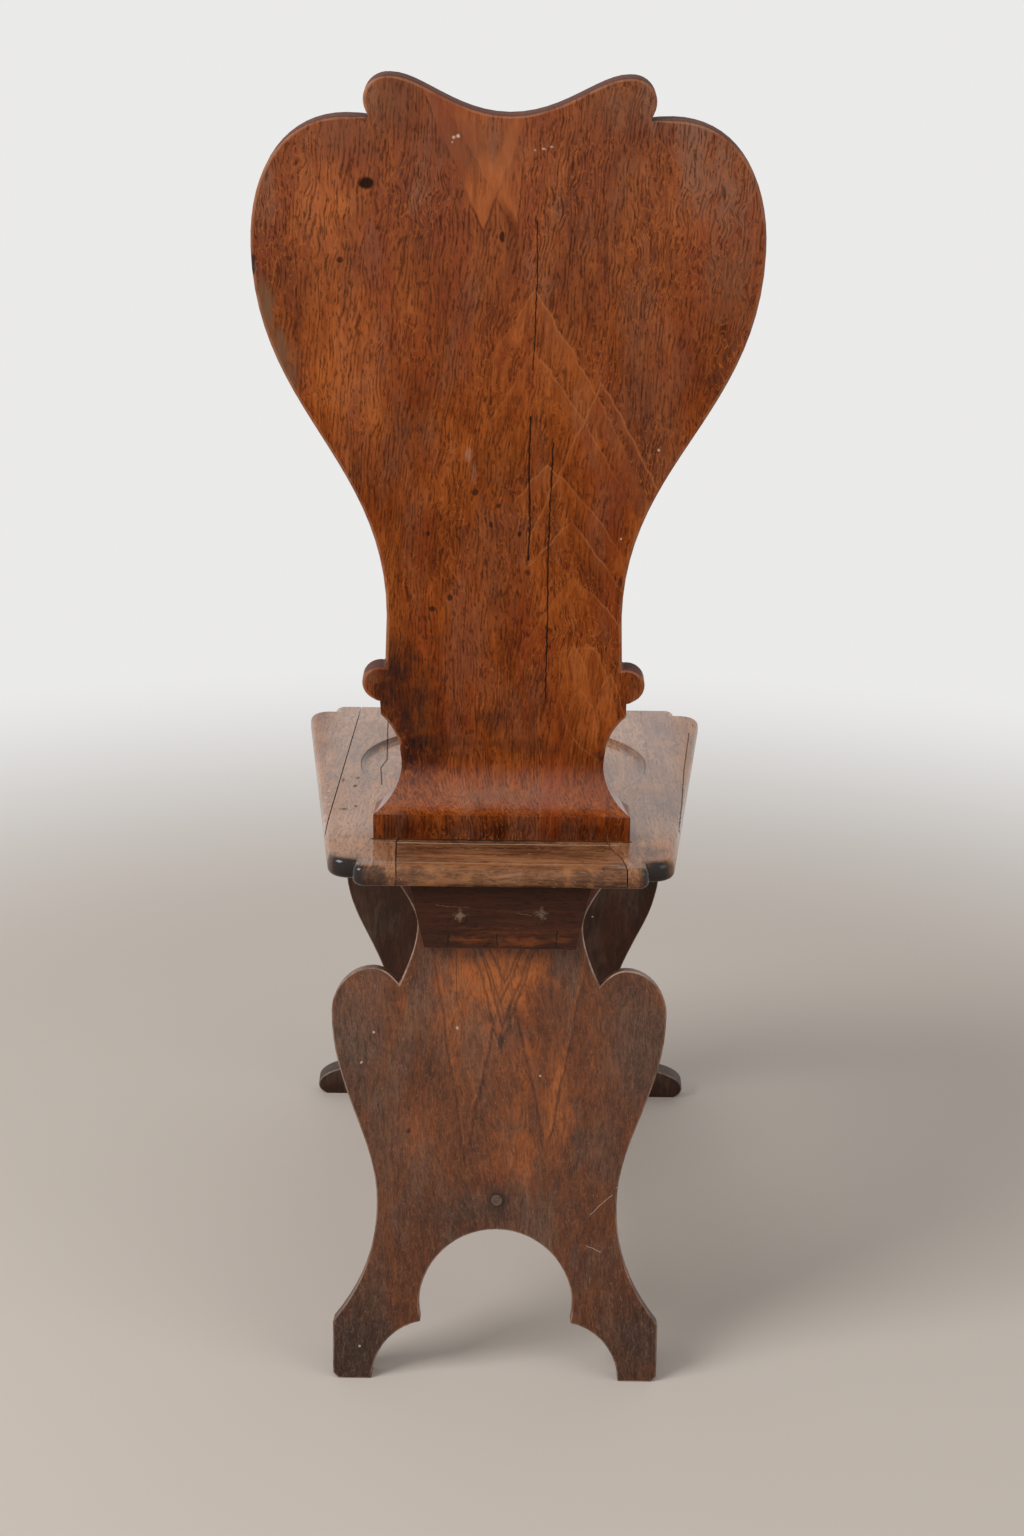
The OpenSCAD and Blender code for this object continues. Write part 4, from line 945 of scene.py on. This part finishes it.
stretcherPegEnds = {
    "node": "stretcher_pegs", "slot": "peg_wood", "name": "stretcherPegEnds",
    "round": 0.0006, **roundedPiece,
}
stretcherBar = {
    "node": "stretcher", "slot": "hidden_wood", "name": "stretcherBar",
    "round": 0.0008, **squarePiece,
}
tenonWedges = {
    "node": "tenon_keys", "slot": "hidden_wood", "name": "tenonWedges",
    "round": 0.0006, **squarePiece,
}
frontRubbedBlocks = {
    "node": "front_glue_blocks", "slot": "hidden_wood", "name": "frontRubbedBlocks",
    "round": 0.0008, **squarePiece,
}
rearRubbedBlock = {
    "node": "rear_glue_blocks", "slot": "hidden_wood", "name": "rearRubbedBlock",
    "round": 0.0008, **squarePiece,
}

pegFinish = {
    "tones": [(0.3, (0.055, 0.026, 0.017)), (0.7, (0.18, 0.098, 0.062))],
    "roughness": 0.45,
}
insideFinish = {
    "tones": [
        (0.25, (0.05, 0.019, 0.009)), (0.5, (0.105, 0.04, 0.018)),
        (0.8, (0.19, 0.082, 0.038))],
    "roughness": 0.5,
}
plainWear = {"fleckColour": (0.025, 0.011, 0.007), "rubbedColour": (0.22, 0.125, 0.08)}


def makePlainWood(name, look):
    material, tree, shader, place = newFinish(name)
    grain = placed(tree, plankGrain, Wander=0.6, Fineness=1.3, Swirl=0.6,
                   Vector=stretched(tree, place, (1, 1, 1), turn=(90, 0, 0)))
    tone = timesPlus(tree, grain["Figure"], 0.4, times(tree, grain["Streaks"], 0.6))
    colour = toned(tree, tone, look["tones"])
    colour = mixed(tree, times(tree, grain["Flecks"], 0.45), colour, plainWear["fleckColour"])
    worn = wornBy(tree, place)
    colour = mixed(tree, times(tree, worn["Rubbed"], 0.4), colour, plainWear["rubbedColour"])
    feed(tree, shader.inputs["Base Color"], colour)
    feed(tree, shader.inputs["Roughness"],
         timesPlus(tree, grain["Streaks"], 0.2, look["roughness"]))
    shader.inputs["Specular IOR Level"].default_value = 0.35
    raised(tree, shader, grain["Height"], 0.00018)
    print("finish made:", material.name)
    return material


makePiece(sgabelloBack, makeBackWood())
seatWood = makeSeatWood("rubbed seat wood", (90, 0, 0), (0, 0, 0), 0.16, -0.33)
for strip in (seatMiddle, seatStripLeft, seatStripRight):
    makePiece(strip, seatWood)
# the grain of the rear piece runs across the seat
makePiece(seatRearPiece, makeSeatWood(
    "glossy rear edge wood", (0, 90, 0), (0.31, 0, 0.2), 0.34, -0.47))
makePiece(rearPlankSupport, makeSupportWood("patinated rear support wood", rearSupportFinish))
# the front support wears the darker copy of the support wood: painted shade
makePiece(frontPlankSupport, makeSupportWood("shaded front support wood", shadedFrontSupportFinish))
cleatWood = makeCleatWood()
makePiece(rearCleatBoard, cleatWood)
makePiece(cleatPegEnds, cleatWood)
makePiece(stretcherPegEnds, makePlainWood("end grain peg wood", pegFinish))
insideWood = makePlainWood("plain inside wood", insideFinish)
for hidden in (stretcherBar, tenonWedges, frontRubbedBlocks, rearRubbedBlock):
    makePiece(hidden, insideWood)


# floor, light and camera

studio = {
    "floorColour": (0.61, 0.545, 0.485), "floorSize": 14.0, "background": (0.83, 0.825, 0.82),
    "floorFrom": 0.7, "floorTo": 2.0,  # where the floor turns into the background
    "worldStrength": 0.54,
    "lamps": [
        ("key from the left", (-2.3, -1.3, 2.4), (0, 0, 0.55), (1.6, 1.6), 70),
        ("fill from the right", (2.2, -1.4, 1.5), (0, 0, 0.5), (1.8, 1.8), 14)],
}

photographView = {
    "place": (0.0075, -2.0217, 1.03), "pitch": 16.87, "roll": 0.75,  # pitch is down
    "sensorHeight": 36, "lens": 58.875,
}


def makeFloor():
    bm = bmesh.new()
    bmesh.ops.create_grid(bm, x_segments=2, y_segments=2, size=studio["floorSize"] / 2)
    mesh = bpy.data.meshes.new("paleFloor")
    bm.to_mesh(mesh)
    bm.free()
    floor = bpy.data.objects.new("paleFloor", mesh)
    bpy.context.collection.objects.link(floor)
    material, tree, shader, place = newFinish("pale floor")
    colour = mixed(tree, clouds(tree, place, 3, 3), studio["floorColour"],
                   tuple(part * 0.97 for part in studio["floorColour"]))
    feed(tree, shader.inputs["Base Color"], colour)
    shader.inputs["Roughness"].default_value = 0.7
    shader.inputs["Specular IOR Level"].default_value = 0.2
    # far from the chair the floor turns into the pale background
    glow = addNode(tree, "ShaderNodeEmission")
    glow.inputs["Color"].default_value = (*studio["background"], 1)
    blend = addNode(tree, "ShaderNodeMixShader")
    path = addNode(tree, "ShaderNodeLightPath")
    seen = sums(tree, "MAXIMUM", path.outputs["Is Camera Ray"], path.outputs["Is Glossy Ray"])
    away = eased(tree, vectorSums(tree, "LENGTH", place), studio["floorFrom"],
                 studio["floorTo"])
    feed(tree, blend.inputs[0], times(tree, away, seen))
    tree.links.new(shader.outputs[0], blend.inputs[1])
    tree.links.new(glow.outputs[0], blend.inputs[2])
    leave = tree.nodes["Material Output"]
    tree.links.new(blend.outputs[0], leave.inputs["Surface"])
    floor.data.materials.append(material)


def makeLamp(name, place, target, size, power):
    lamp = bpy.data.lights.new(name, "AREA")
    lamp.shape = "RECTANGLE"
    lamp.size, lamp.size_y = size
    lamp.energy = power
    holder = bpy.data.objects.new(name, lamp)
    bpy.context.collection.objects.link(holder)
    holder.location = place
    holder.rotation_euler = (Vector(target) - Vector(place)).to_track_quat("-Z", "Y").to_euler()


def makeWorld():
    # the eye and the gloss see the pale background, and soft light comes from all round
    world = bpy.data.worlds.new("soft studio")
    world.use_nodes = True
    tree = world.node_tree
    tree.nodes.clear()
    path = addNode(tree, "ShaderNodeLightPath")
    shade = addNode(tree, "ShaderNodeBackground")
    leave = addNode(tree, "ShaderNodeOutputWorld")
    shade.inputs["Color"].default_value = (*studio["background"], 1)
    seen = strongest(tree, [path.outputs[name] for name in (
        "Is Camera Ray", "Is Glossy Ray", "Is Transmission Ray")])
    feed(tree, shade.inputs["Strength"],
         eased(tree, seen, 0.0, 1.0, studio["worldStrength"], 1.0))
    tree.links.new(shade.outputs[0], leave.inputs["Surface"])
    bpy.context.scene.world = world


def makeCamera():
    pitch, roll = radians(photographView["pitch"]), radians(photographView["roll"])
    forward = Vector((0, cos(pitch), -sin(pitch)))
    level = Vector((1, 0, 0))
    upright = Vector((0, sin(pitch), cos(pitch)))
    side = level * cos(roll) + upright * sin(roll)
    top = upright * cos(roll) - level * sin(roll)
    camera = bpy.data.cameras.new("photograph view")
    camera.sensor_fit = "VERTICAL"
    camera.sensor_height = photographView["sensorHeight"]
    camera.lens = photographView["lens"]
    holder = bpy.data.objects.new("photograph view", camera)
    bpy.context.collection.objects.link(holder)
    turn = Matrix((side, top, -forward)).transposed()
    holder.matrix_world = Matrix.Translation(photographView["place"]) @ turn.to_4x4()
    bpy.context.scene.camera = holder


makeFloor()
makeWorld()
for lamp in studio["lamps"]:
    makeLamp(*lamp)
makeCamera()
bpy.context.scene.view_settings.view_transform = "Standard"
print("studio ready")
